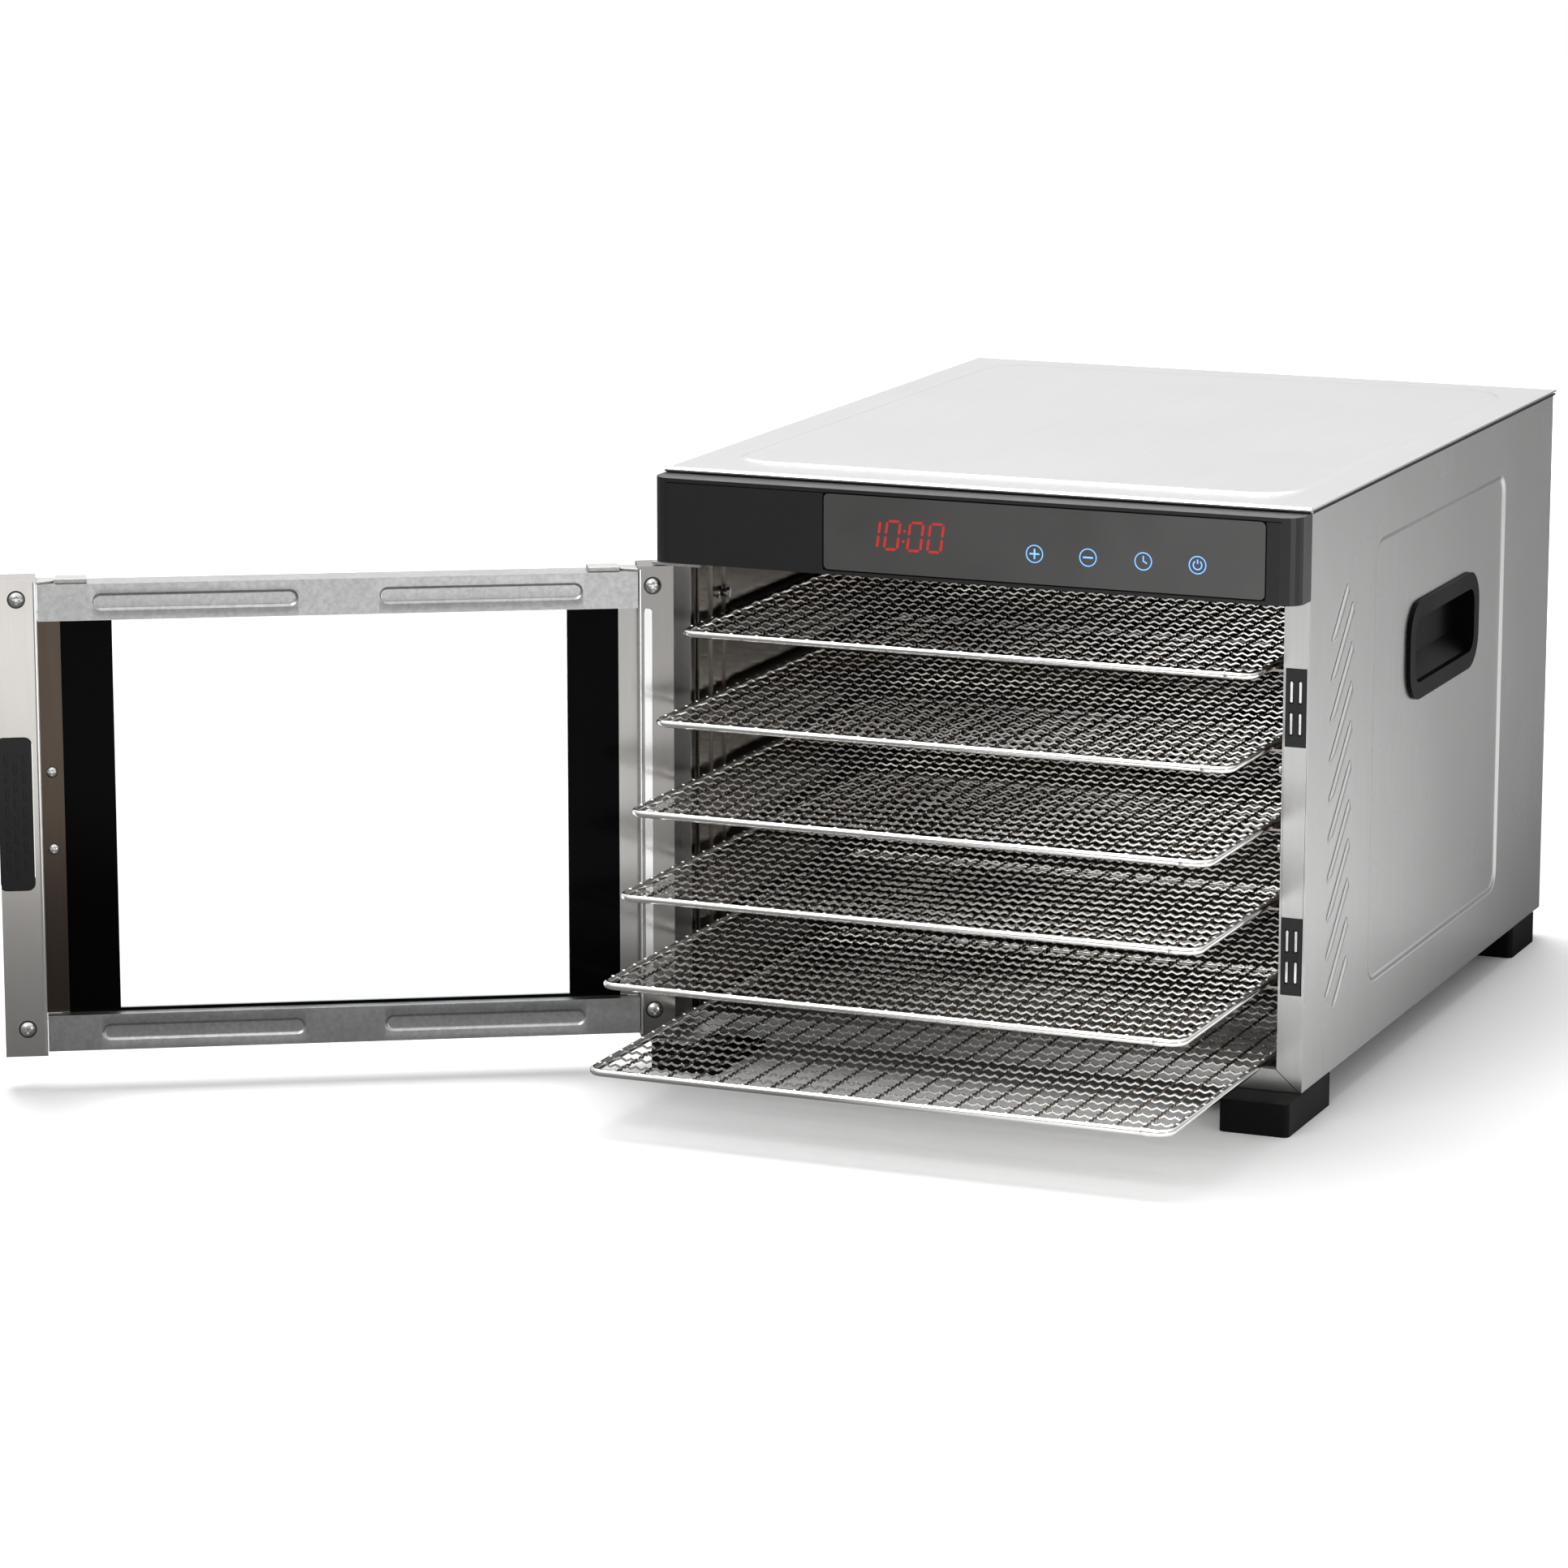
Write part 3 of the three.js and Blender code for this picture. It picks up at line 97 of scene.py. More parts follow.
def door_place():
    """The door's own frame: the hinge axis at x = 0, +X to the free edge and +Y to the inner face."""
    pin_low, pin_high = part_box("hinge_pin_upper")
    axis = (pin_low + pin_high) / 2
    turn = Matrix.Rotation(-math.radians(DOOR_OPEN_DEGREES), 4, "Z")
    return Matrix.Translation((axis.x, axis.y, cabinet_corner().z)) @ turn


DOOR = door_place()
DOOR_HEIGHTS = heights("door_post_hinge")
RAIL_TOP_HEIGHTS = heights("door_rail_top")
RAIL_LOW_HEIGHTS = heights("door_rail_bottom")
GRIP_HEIGHTS = heights("door_grip")
DOOR_END = 340.0  # free edge from the hinge axis
HINGE_POST_END = 14.2
HANDLE_POST_START = DOOR_END - 21.4
HINGE_LIP = 10.0
HANDLE_LIP = 11.5


def from_cabinet(node):
    """A node's box measured from the cabinet's front lower middle."""
    return [(low - ORIGIN[i], high - ORIGIN[i]) for i, (low, high) in enumerate(span(node))]


# ---- Settings ----
def number(name, description, default):
    return FloatProperty(name=name, description=description, default=default, min=0.0)


def colour(name, description, default):
    return FloatVectorProperty(
        name=name, description=description, default=default, subtype="COLOR", min=0.0, max=1.0
    )


class DehydratorStageSettings(PropertyGroup):
    """Camera, lights and floor."""

    target: FloatVectorProperty(
        name="Look at", description="Point in the middle of the view", default=(0.0532, -0.1596, 0.1590),
        subtype="XYZ", unit="LENGTH",
    )
    azimuth: FloatProperty(
        name="Azimuth", description="Camera's turn round the object, from the front to the right",
        default=math.radians(22.659), subtype="ANGLE",
    )
    elevation: FloatProperty(
        name="Elevation", description="Camera's height angle", default=math.radians(11.969), subtype="ANGLE"
    )
    distance: FloatProperty(
        name="Distance", description="Camera to the point it looks at", default=2.93, unit="LENGTH"
    )
    lens: number("Lens", "Focal length in millimetres", 132.76)
    floor: colour("Floor", "Floor colour", (0.86, 0.86, 0.86))
    floor_far: number("Far floor", "Level of the floor far off", 1.7)
    soft_light: number("Soft light", "Level of the light from all round", 0.66)
    # The next two levels set a grey slope on the floor that only glossy rays see: a painted reflection, which
    # paints the side panels darker towards the bottom and the back.
    painted_reflection_dark: number("Floor dark", "Darkest floor that gloss sees", 0.1)
    painted_reflection_pale: number("Floor pale", "Palest floor that gloss sees", 0.95)
    wall_grey: number("Wall grey", "Level of the walls as gloss sees them", 0.22)
    ceiling: number("Ceiling", "Level of the ceiling as gloss sees it", 1.25)
    bright_wall: number("Bright wall", "Extra level behind the left", 0.4)
    key_power: number("Key power", "Softbox above the back left, in watts", 92.0)
    edge_power: number("Edge power", "Narrow softbox at the right, in watts", 5.0)
    fill_power: number("Fill power", "Softbox above the front, in watts", 34.0)


class DehydratorSteelSettings(PropertyGroup):
    """Sheet metal finish."""

    side: colour("Side steel", "Brushed steel of the side panels", (0.50, 0.50, 0.495))
    # The lid steel is much paler than the side steel: the top is painted lighter, a painted highlight over the
    # whole lid.
    lid: colour("Lid steel", "Smoother steel of the lid", (0.8, 0.8, 0.8))
    # Near-black steel inside the chamber: painted shade.
    chamber: colour("Chamber steel", "Steel inside the drying chamber", (0.07, 0.062, 0.055))
    rail: colour("Rail steel", "Galvanised steel of the door rails", (0.46, 0.465, 0.46))
    post: colour("Post steel", "Warm steel of the door posts", (0.60, 0.575, 0.55))
    edge: number("Edge radius", "Softened edge of a folded sheet in millimetres", 0.28)
    louvre_rise: number("Louvre rise", "How far a louvre's hood stands out in millimetres", 1.5)


class DehydratorTraySettings(PropertyGroup):
    """Woven wire trays."""

    wire: number("Wire", "Thickness of the woven wire in millimetres", 1.35)
    rim: number("Rim", "Thickness of the rim rod in millimetres", 3.8)
    crimp: number("Crimp", "Height of a crimp either way in millimetres", 0.62)
    across_pitch: number("Wires across", "Spacing of the left to right wires in millimetres", 13.4)
    along_pitch: number("Wires along", "Spacing of the front to back wires in millimetres", 13.8)
    half_crimps: IntProperty(name="Half crimps", description="Bends from one crossing to the next, odd", default=5)


class DehydratorControlSettings(PropertyGroup):
    """Touch panel."""

    digit_red: colour("Digits", "Lit digits", (0.42, 0.012, 0.012))
    sign_blue: colour("Signs", "Lit touch signs", (0.16, 0.42, 1.0))
    glass: colour("Panel", "Smoked window of the panel", (0.042, 0.041, 0.040))
    plastic: colour("Plastic", "Black moulded plastic", (0.009, 0.009, 0.0095))


# ---- Drawing forms ----
def add_skin(form, rings, loop=False):
    """Joins rings of points into one closed skin. loop joins the last ring to the first instead of capping."""
    rows = [[form.verts.new(point) for point in ring] for ring in rings]
    count = len(rows[0])
    pairs = list(zip(rows, rows[1:]))
    if loop:
        pairs.append((rows[-1], rows[0]))
    for first, second in pairs:
        for i in range(count):
            j = (i + 1) % count
            form.faces.new((first[i], first[j], second[j], second[i]))
    if not loop:
        form.faces.new(rows[0])
        form.faces.new(list(reversed(rows[-1])))


def add_prism(form, outline, low, high, axis="z"):
    """Extrudes an outline: (x, y) along z, (x, z) along y or (y, z) along x."""
    place = {
        "x": lambda a, b, d: (d, a, b),
        "y": lambda a, b, d: (a, d, b),
        "z": lambda a, b, d: (a, b, d),
    }[axis]
    add_skin(form, [[place(a, b, depth) for a, b in outline] for depth in (low, high)])


def add_block(form, x, y, z):
    add_prism(form, [(x[0], y[0]), (x[1], y[0]), (x[1], y[1]), (x[0], y[1])], z[0], z[1])


def around(middle, width):
    return (middle - width / 2, middle + width / 2)


def rounded(x, y, radius, steps=6):
    """Outline of a rectangle with round corners."""
    centres = [(x[1] - radius, y[1] - radius), (x[0] + radius, y[1] - radius)]
    centres += [(x[0] + radius, y[0] + radius), (x[1] - radius, y[0] + radius)]
    outline = []
    for quarter, (cx, cy) in enumerate(centres):
        for step in range(steps + 1):
            turn = math.pi / 2 * (quarter + step / steps)
            outline.append((cx + radius * math.cos(turn), cy + radius * math.sin(turn)))
    return outline


def add_ribbon(form, inner, outer, low, high, axis="y"):
    """A flat closed band between two outlines of equal length, such as a ring or a frame."""
    place = {"y": lambda a, b, d: (a, d, b), "z": lambda a, b, d: (a, b, d)}[axis]
    rings = []
    for (a0, b0), (a1, b1) in zip(inner, outer):
        rings.append([place(a0, b0, low), place(a1, b1, low), place(a1, b1, high), place(a0, b0, high)])
    add_skin(form, rings, loop=True)


def circle(centre, radius, first, second, steps):
    """Points round a circle in the plane of two directions."""
    turns = [2 * math.pi * step / steps for step in range(steps)]
    return [centre + radius * (math.cos(turn) * first + math.sin(turn) * second) for turn in turns]


def add_wire(form, points, radius, side, sides=5, loop=False):
    """A round wire along points that lie in the plane square to side. radius is a number or one per point."""
    count = len(points)
    radii = radius if isinstance(radius, list) else [radius] * count
    rings = []
    for i, point in enumerate(points):
        before = points[(i - 1) % count] if loop or i > 0 else point
        after = points[(i + 1) % count] if loop or i < count - 1 else point
        out = side.cross((after - before).normalized())
        rings.append(circle(point, radii[i], side, out, sides))
    add_skin(form, rings, loop=loop)


def add_turned(form, profile, centre, axis, steps=20):
    """A turned form from (radius, height) points along an axis."""
    first = axis.orthogonal().normalized()
    second = axis.cross(first)
    add_skin(form, [circle(centre + height * axis, radius, first, second, steps) for radius, height in profile])


SCREW_STOPS = (0.165, 0.19, 0.36, 0.58, 0.62, 0.74, 0.88, 1.0)


def add_screw(form, centre, axis, radius, dome, base=0.0):
    """A domed cross-recess screw head. The recess is sunk into the dome."""
    up = Z if abs(axis.z) < 0.9 else Y
    across = up.cross(axis).normalized()
    stops = [-stop for stop in reversed(SCREW_STOPS)] + [0.0] + list(SCREW_STOPS)
    grid = []
    for b in stops:
        row = []
        for a in stops:
            u = a * math.sqrt(1 - b * b / 2)
            v = b * math.sqrt(1 - a * a / 2)
            height = base + dome * (1 - 0.8 * (u * u + v * v) ** 1.5)
            sunk = (abs(a) < 0.18 and abs(b) < 0.6) or (abs(b) < 0.18 and abs(a) < 0.6)
            if sunk:
                height -= dome * 0.9
            row.append(form.verts.new(centre + radius * (u * across + v * up) + height * axis))
        grid.append(row)
    size = len(stops)
    for j in range(size - 1):
        for i in range(size - 1):
            form.faces.new((grid[j][i], grid[j][i + 1], grid[j + 1][i + 1], grid[j + 1][i]))
    edge = [grid[0][i] for i in range(size)] + [grid[j][-1] for j in range(1, size)]
    edge += [grid[-1][i] for i in range(size - 2, -1, -1)] + [grid[j][0] for j in range(size - 2, 0, -1)]
    foot = [form.verts.new(vert.co - (vert.co - centre).dot(axis) * axis) for vert in edge]
    count = len(edge)
    for i in range(count):
        j = (i + 1) % count
        form.faces.new((edge[j], edge[i], foot[i], foot[j]))
    form.faces.new(foot)


def new_object(name, data):
    thing = bpy.data.objects.new(name, data)
    bpy.context.scene.collection.objects.link(thing)
    return thing


def make_piece(name, form, place, material, body, slot, bevel=0.0, smooth=40.0, mesh=None):
    """Turns a form drawn in millimetres into a finished piece that rides on a body."""
    if mesh is None:
        bmesh.ops.recalc_face_normals(form, faces=form.faces)
        form.transform(Matrix.Scale(MM, 4))
        mesh = bpy.data.meshes.new(name)
        form.to_mesh(mesh)
        form.free()
        mesh.materials.append(material)
        soften(mesh, smooth)
    piece = new_object(name, mesh)
    piece.matrix_world = place
    if bevel:
        round_edges(piece, bevel)
    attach(piece, body)
    return piece


def cabinet_piece(name, form, material, slot, *edges, **shading):
    return make_piece(name, form, CABINET, finish(material), "root", slot, *edges, **shading)


def door_piece(name, form, material, slot, *edges, **shading):
    return make_piece(name, form, DOOR, finish(material), "door", slot, *edges, **shading)


def soften(mesh, degrees):
    for face in mesh.polygons:
        face.use_smooth = True
    mesh.set_sharp_from_angle(angle=math.radians(degrees))


def round_edges(thing, width):
    """Small rounded edges that catch the light, with the flats kept flat."""
    merge = thing.modifiers.new("flat faces", "DECIMATE")
    merge.decimate_type = "DISSOLVE"
    merge.angle_limit = math.radians(0.4)
    bevel = thing.modifiers.new("edge radius", "BEVEL")
    bevel.width = width * MM
    bevel.segments = 2
    bevel.limit_method = "ANGLE"
    bevel.angle_limit = math.radians(40)
    bevel.harden_normals = True


def level_flats(thing):
    """Shades each vertex by its widest faces, so that flats next to a rolled edge stay even."""
    weighted = thing.modifiers.new("even flats", "WEIGHTED_NORMAL")
    weighted.keep_sharp = True
    weighted.weight = 100


def dress(nodes, material, edge=0.0, smooth=30.0):
    """Gives CAD nodes their finish, and rounded edges where edge isn't 0."""
    for name in nodes:
        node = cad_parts[name]
        node.data.materials.clear()
        node.data.materials.append(finish(material))
        loaded_normals = node.data.attributes.get("custom_normal")
        if loaded_normals:
            node.data.attributes.remove(loaded_normals)
        soften(node.data, smooth)
        if edge:
            round_edges(node, edge)
            level_flats(node)


# ---- Shared surface effects ----
def new_group(name, inputs, outputs):
    """An empty shader node group with named sockets, and its two end nodes."""
    group = bpy.data.node_groups.new(name, "ShaderNodeTree")
    for label, kind, default in inputs:
        socket = group.interface.new_socket(label, in_out="INPUT", socket_type="NodeSocket" + kind)
        socket.default_value = default
    for label, kind in outputs:
        group.interface.new_socket(label, in_out="OUTPUT", socket_type="NodeSocket" + kind)
    return group, group.nodes.new("NodeGroupInput"), group.nodes.new("NodeGroupOutput")


def add_node(tree, kind, links=None, **values):
    """Adds a shader node, with its inputs by socket name or number: a socket is linked, a value is set."""
    node = tree.nodes.new("ShaderNode" + kind)
    for key, value in values.items():
        setattr(node, key, value)
    for key, source in (links or {}).items():
        if isinstance(source, bpy.types.NodeSocket):
            tree.links.new(source, node.inputs[key])
        else:
            node.inputs[key].default_value = source
    return node


def piece_place(tree):
    """Position in the piece's own space."""
    return add_node(tree, "TexCoord").outputs["Object"]


def ranged(tree, value, before, after=(0.0, 1.0), **settings):
    """Maps a value from one range to another and holds it inside."""
    ends = {"From Min": before[0], "From Max": before[1], "To Min": after[0], "To Max": after[1]}
    return add_node(tree, "MapRange", {"Value": value, **ends}, **settings).outputs[0]


def arithmetic(tree, operation, *values):
    return add_node(tree, "Math", dict(enumerate(values)), operation=operation).outputs[0]


def along_way(tree, place, way):
    """How far a place lies along a direction."""
    return add_node(tree, "VectorMath", {0: place, 1: way}, operation="DOT_PRODUCT").outputs["Value"]


def grey_level(tree, level):
    return add_node(tree, "CombineColor", {i: level for i in range(3)}).outputs[0]


def grain_group():
    """Drawn lines of brushed or rolled steel, stretched along one axis of the piece."""
    group, start, end = new_group(
        "brushed_grain",
        [("Lines per metre", "Vector", (900, 900, 30)), ("Contrast", "Float", 0.05)],
        [("Tone", "Float"), ("Height", "Float")],
    )
    stretched = add_node(
        group, "VectorMath", {0: piece_place(group), 1: start.outputs["Lines per metre"]},
        operation="MULTIPLY",
    )
    lines = add_node(
        group, "TexNoise",
        {"Vector": stretched.outputs[0], "Scale": 1.0, "Detail": 2.0, "Roughness": 0.55},
    )
    broad_place = add_node(
        group, "VectorMath", {0: stretched.outputs[0], 1: (0.3, 0.3, 0.5)}, operation="MULTIPLY"
    )
    broad = add_node(
        group, "TexNoise", {"Vector": broad_place.outputs[0], "Scale": 1.0, "Detail": 1.0}
    )
    both = arithmetic(group, "ADD", lines.outputs["Fac"], broad.outputs["Fac"])
    centred = arithmetic(group, "ADD", both, -1.0)
    tone = arithmetic(group, "MULTIPLY_ADD", centred, start.outputs["Contrast"], 0.5)
    group.links.new(tone, end.inputs["Tone"])
    group.links.new(lines.outputs["Fac"], end.inputs["Height"])
    return group


def smudge_group():
    """Slow changes of gloss, as handling and cleaning leave them."""
    group, start, end = new_group(
        "handling_smudges",
        [("Per metre", "Float", 14.0), ("Low", "Float", 0.25),
         ("High", "Float", 0.35)],
        [("Value", "Float")],
    )
    cloud = add_node(
        group, "TexNoise",
        {"Vector": piece_place(group), "Scale": start.outputs["Per metre"], "Detail": 1.0},
    )
    gloss = ranged(
        group, cloud.outputs["Fac"], (0.15, 0.85), (start.outputs["Low"], start.outputs["High"]),
        interpolation_type="SMOOTHSTEP",
    )
    group.links.new(gloss, end.inputs["Value"])
    return group


def speckle_group():
    """Fine irregular grain of moulded plastic or zinc coating."""
    group, start, end = new_group(
        "fine_speckle",
        [("Per metre", "Float", 900.0)],
        [("Value", "Float"), ("Height", "Float")],
    )
    grains = add_node(
        group, "TexNoise",
        {"Vector": piece_place(group), "Scale": start.outputs["Per metre"], "Detail": 3.0,
         "Roughness": 0.65},
    )
    group.links.new(ranged(group, grains.outputs["Fac"], (0.32, 0.68)), end.inputs["Value"])
    group.links.new(grains.outputs["Fac"], end.inputs["Height"])
    return group


def edge_highlight_group():
    """A mask of the edges, where the colour is painted lighter: a painted highlight along the edges."""
    group, start, end = new_group(
        "edge_wear", [("Reach", "Float", 0.0006)], [("Mask", "Float")]
    )
    soft = add_node(group, "Bevel", {"Radius": start.outputs["Reach"]}, samples=4)
    true = add_node(group, "NewGeometry")
    alike = along_way(group, soft.outputs["Normal"], true.outputs["Normal"])
    group.links.new(ranged(group, alike, (0.995, 0.80)), end.inputs["Mask"])
    return group


GROUPS = {}


def place_group(tree, name, **values):
    """Places a shared effect in a material, building it the first time."""
    makers = {"grain": grain_group, "smudge": smudge_group, "speckle": speckle_group, "edge": edge_highlight_group}
    if name not in GROUPS:
        GROUPS[name] = makers[name]()
    node = tree.nodes.new("ShaderNodeGroup")
    node.node_tree = GROUPS[name]
    for key, value in values.items():
        node.inputs[key.replace("_", " ")].default_value = value
    return node


def mixed(tree, factor, first, second):
    """A colour between two, by a factor socket."""
    node = add_node(tree, "Mix", data_type="RGBA")
    for key, value in (("Factor_Float", factor), ("A_Color", first), ("B_Color", second)):
        socket = next(s for s in node.inputs if s.identifier == key)
        if isinstance(value, bpy.types.NodeSocket):
            tree.links.new(value, socket)
        else:
            socket.default_value = value
    return next(s for s in node.outputs if s.identifier == "Result_Color")


def rgba(colour_values, share=1.0):
    return (*[min(1.0, channel * share) for channel in colour_values], 1.0)


def new_material(name, **sockets):
    """A material with plain values on its Principled shader."""
    material = bpy.data.materials.new(name)
    material.use_nodes = True
    shader = material.node_tree.nodes["Principled BSDF"]
    for key, value in sockets.items():
        shader.inputs[key.replace("_", " ")].default_value = value
    return material, material.node_tree, shader


def vary_gloss(tree, shader, gloss, per_metre):
    """Slow gloss changes between the two values of gloss."""
    smudges = place_group(tree, "smudge", Low=gloss[0], High=gloss[1], Per_metre=per_metre)
    tree.links.new(smudges.outputs["Value"], shader.inputs["Roughness"])


def hazed(tree, per_metre, first, second):
    """A colour that drifts slowly between two."""
    haze = place_group(tree, "smudge", Low=0.0, High=1.0, Per_metre=per_metre)
    return mixed(tree, haze.outputs["Value"], first, second)


def lay_surface(material_parts, grain, tone, tint, shades, edge_highlight, gloss, per_metre, bump):
    """Toned grain, edges painted lighter as a painted highlight, slow gloss changes and a fine bump. shades is
    (dark, light, painted edge highlight).
    """
    material, tree, shader = material_parts
    dark, light, edge_highlight_colour = [rgba(tint, share) for share in shades]
    toned = mixed(tree, grain.outputs[tone], dark, light)
    edges = place_group(tree, "edge")
    # Edges are lifted towards the lightest shade: a painted highlight.
    edge_highlight_mask = arithmetic(tree, "MULTIPLY", edges.outputs["Mask"], edge_highlight)
    tree.links.new(mixed(tree, edge_highlight_mask, toned, edge_highlight_colour), shader.inputs["Base Color"])
    vary_gloss(tree, shader, gloss, per_metre)
    relief = add_node(
        tree, "Bump",
        {"Height": grain.outputs["Height"], "Strength": bump[0], "Distance": bump[1] * MM},
    )
    tree.links.new(relief.outputs["Normal"], shader.inputs["Normal"])
    return material


# ---- Finishes ----
# The edge weight sets how far the edges are painted lighter: a painted highlight.
def steel(name, tint, gloss, lines, contrast=0.5, edge_highlight=0.3, anisotropic=0.0):
    """Sheet or bar steel: drawn lines. gloss is (low, high)."""
    parts = new_material(name, Metallic=1.0, Anisotropic=anisotropic)
    grain = place_group(parts[1], "grain", Lines_per_metre=lines, Contrast=contrast)
    return lay_surface(parts, grain, "Tone", tint, (0.9, 1.1, 1.5), edge_highlight, gloss, 14.0, (0.10, 0.04))


def zinc(name, tint, gloss, size=420.0):
    """Galvanised or plated steel: mottled grain without a direction."""
    parts = new_material(name, Metallic=1.0)
    grain = place_group(parts[1], "speckle", Per_metre=size)
    return lay_surface(parts, grain, "Value", tint, (0.86, 1.12, 1.6), 0.5, gloss, 40.0, (0.25, 0.06))


def moulded(name, tint, gloss, grain_size=1400.0, depth=0.03, shine=0.3):
    """Moulded plastic: fine grain."""
    parts = new_material(name, Specular_IOR_Level=shine)
    grain = place_group(parts[1], "speckle", Per_metre=grain_size)
    return lay_surface(parts, grain, "Value", tint, (0.85, 1.2, 3.0), 0.4, gloss, 22.0, (0.3, depth))


def polished(name, tint, gloss, shine=0.5):
    """Smooth dark glass or lacquer with faint wiping marks."""
    material, tree, shader = new_material(name, Specular_IOR_Level=shine)
    vary_gloss(tree, shader, gloss, 9.0)
    tree.links.new(hazed(tree, 30.0, rgba(tint), rgba(tint, 1.25)), shader.inputs["Base Color"])
    return material


def clear_glass(name, tint, deeper):
    """Clear pane with faint wiping marks."""
    material, tree, shader = new_material(name, Transmission_Weight=1.0, IOR=1.45)
    vary_gloss(tree, shader, (0.0, 0.015), 8.0)
    tree.links.new(hazed(tree, 4.0, rgba(tint), rgba(deeper)), shader.inputs["Base Color"])
    return material


def lit(name, tint, strength):
    """A lamp behind a printed sign: uneven where its light guide ends."""
    material, tree, shader = new_material(name, Roughness=0.4, Emission_Strength=strength)
    shader.inputs["Base Color"].default_value = rgba(tint, 0.4)
    tree.links.new(hazed(tree, 260.0, rgba(tint, 0.8), rgba(tint)), shader.inputs["Emission Color"])
    return material


FINISHES = {}


def finish(name):
    """The finish of that name, made once."""
    if name in FINISHES:
        return FINISHES[name]
    tones = bpy.context.scene.dehydrator_steel
    control = bpy.context.scene.dehydrator_control
    fine, long_grain, dots, wire_grain = (1500, 1500, 45), (700, 700, 30), (700, 700, 700), (160, 160, 160)
    makers = {
        "side_steel": (steel, tones.side, (0.26, 0.28), (1000, 1000, 32), 0.55, 0.3, 0.4),
        "lid_steel": (steel, tones.lid, (0.22, 0.235), (900, 26, 900), 0.25),
        "chamber_steel": (steel, tones.chamber, (0.18, 0.26), (500, 500, 18)),
        "rack_steel": (steel, (0.30, 0.27, 0.245), (0.2, 0.28), (500, 500, 18)),
        "post_steel": (steel, tones.post, (0.2, 0.25), fine, 0.4),
        "hinge_steel": (steel, (0.27, 0.26, 0.25), (0.2, 0.25), fine, 0.4),
        # The handle lip is a near-black copy of the hinge lip's steel: painted shade in the recess beside the pane.
        "lip_handle": (steel, (0.075, 0.058, 0.046), (0.16, 0.22), long_grain, 0.8, 0.1),
        "lip_hinge": (steel, (0.34, 0.33, 0.32), (0.16, 0.22), long_grain, 0.6, 0.1),
        "rail_zinc": (zinc, tones.rail, (0.30, 0.36)),
        "dull_zinc": (zinc, (0.42, 0.42, 0.41), (0.40, 0.52), 700.0),
        "screw_shadow": (steel, (0.05, 0.048, 0.045), (0.3, 0.4), dots, 0.6, 0.0),
        "bright_screw": (steel, (0.66, 0.66, 0.65), (0.14, 0.2), dots),
        # Two copies of one wire chrome: a lighter one, partly real chrome and partly painted highlight, and a dark
        # brown one that is painted shade.
        "bright_wire": (steel, (0.93, 0.91, 0.88), (0.08, 0.14), wire_grain, 0.4, 0.0),
        "shaded_wire": (steel, (0.22, 0.16, 0.12), (0.1, 0.18), wire_grain, 0.5, 0.0),
        # Bright strip: real bright steel on the catch poles, and a painted highlight on the post folds and the
        # hinge post rib.
        "bright_strip": (steel, (0.72, 0.72, 0.72), (0.16, 0.22), (900, 900, 30), 0.4),
        "satin_black": (moulded, control.plastic, (0.3, 0.36), 1400.0, 0.03, 0.35),
        # Near-black plastic with almost no shine for the recessed cups: painted shade.
        "cup_black": (moulded, (0.002, 0.002, 0.002), (0.3, 0.4), 1400.0, 0.03, 0.05),
        "grip_black": (moulded, (0.004, 0.004, 0.004), (0.26, 0.32)),
        "foot_black": (moulded, (0.003, 0.003, 0.003), (0.5, 0.6), 700.0, 0.08, 0.08),
        "smoked_panel": (polished, control.glass, (0.16, 0.2)),
        "black_print": (polished, (0.0006, 0.0006, 0.0007), (0.1, 0.16), 0.03),
        "clear_pane": (clear_glass, (0.80, 0.825, 0.86), (0.75, 0.78, 0.82)),
        "red_digits": (lit, control.digit_red, 1.0),
        "blue_signs": (lit, control.sign_blue, 1.6),
        "board_green": (moulded, (0.02, 0.09, 0.035), (0.3, 0.4), 2200.0),
        "hot_sheath": (steel, (0.20, 0.17, 0.15), (0.35, 0.5), (260, 260, 260), 0.8),
        "fan_alloy": (zinc, (0.5, 0.5, 0.5), (0.3, 0.4), 500.0),
        "motor_enamel": (moulded, (0.05, 0.05, 0.052), (0.4, 0.5), 900.0, 0.05),
        "brass_pin": (steel, (0.62, 0.60, 0.55), (0.18, 0.26), (900, 900, 900), 0.4),
        "rubber_black": (moulded, (0.008, 0.008, 0.008), (0.62, 0.7), 800.0, 0.05),
    }
    maker, *values = makers[name]
    FINISHES[name] = maker(name, *values)
    return FINISHES[name]


# ---- Cabinet ----
LOUVRE = {"front": 36.5, "rear": 70.0, "bottom": 33.5, "top": 247.2, "pitch": 20.3, "width": 2.8, "shortest": 6.0}


def louvre_runs():
    """Start and end of each 45 degree louvre as (y, z) pairs, clipped to the field."""
    run = LOUVRE["rear"] - LOUVRE["front"]
    start = LOUVRE["bottom"] - run
    runs = []
    while start < LOUVRE["top"]:
        first = max(start, LOUVRE["bottom"]) - start
        last = min(start + run, LOUVRE["top"]) - start
        if last - first >= LOUVRE["shortest"]:
            runs.append(((LOUVRE["front"] + first, start + first), (LOUVRE["front"] + last, start + last)))
        start += LOUVRE["pitch"]
    return runs


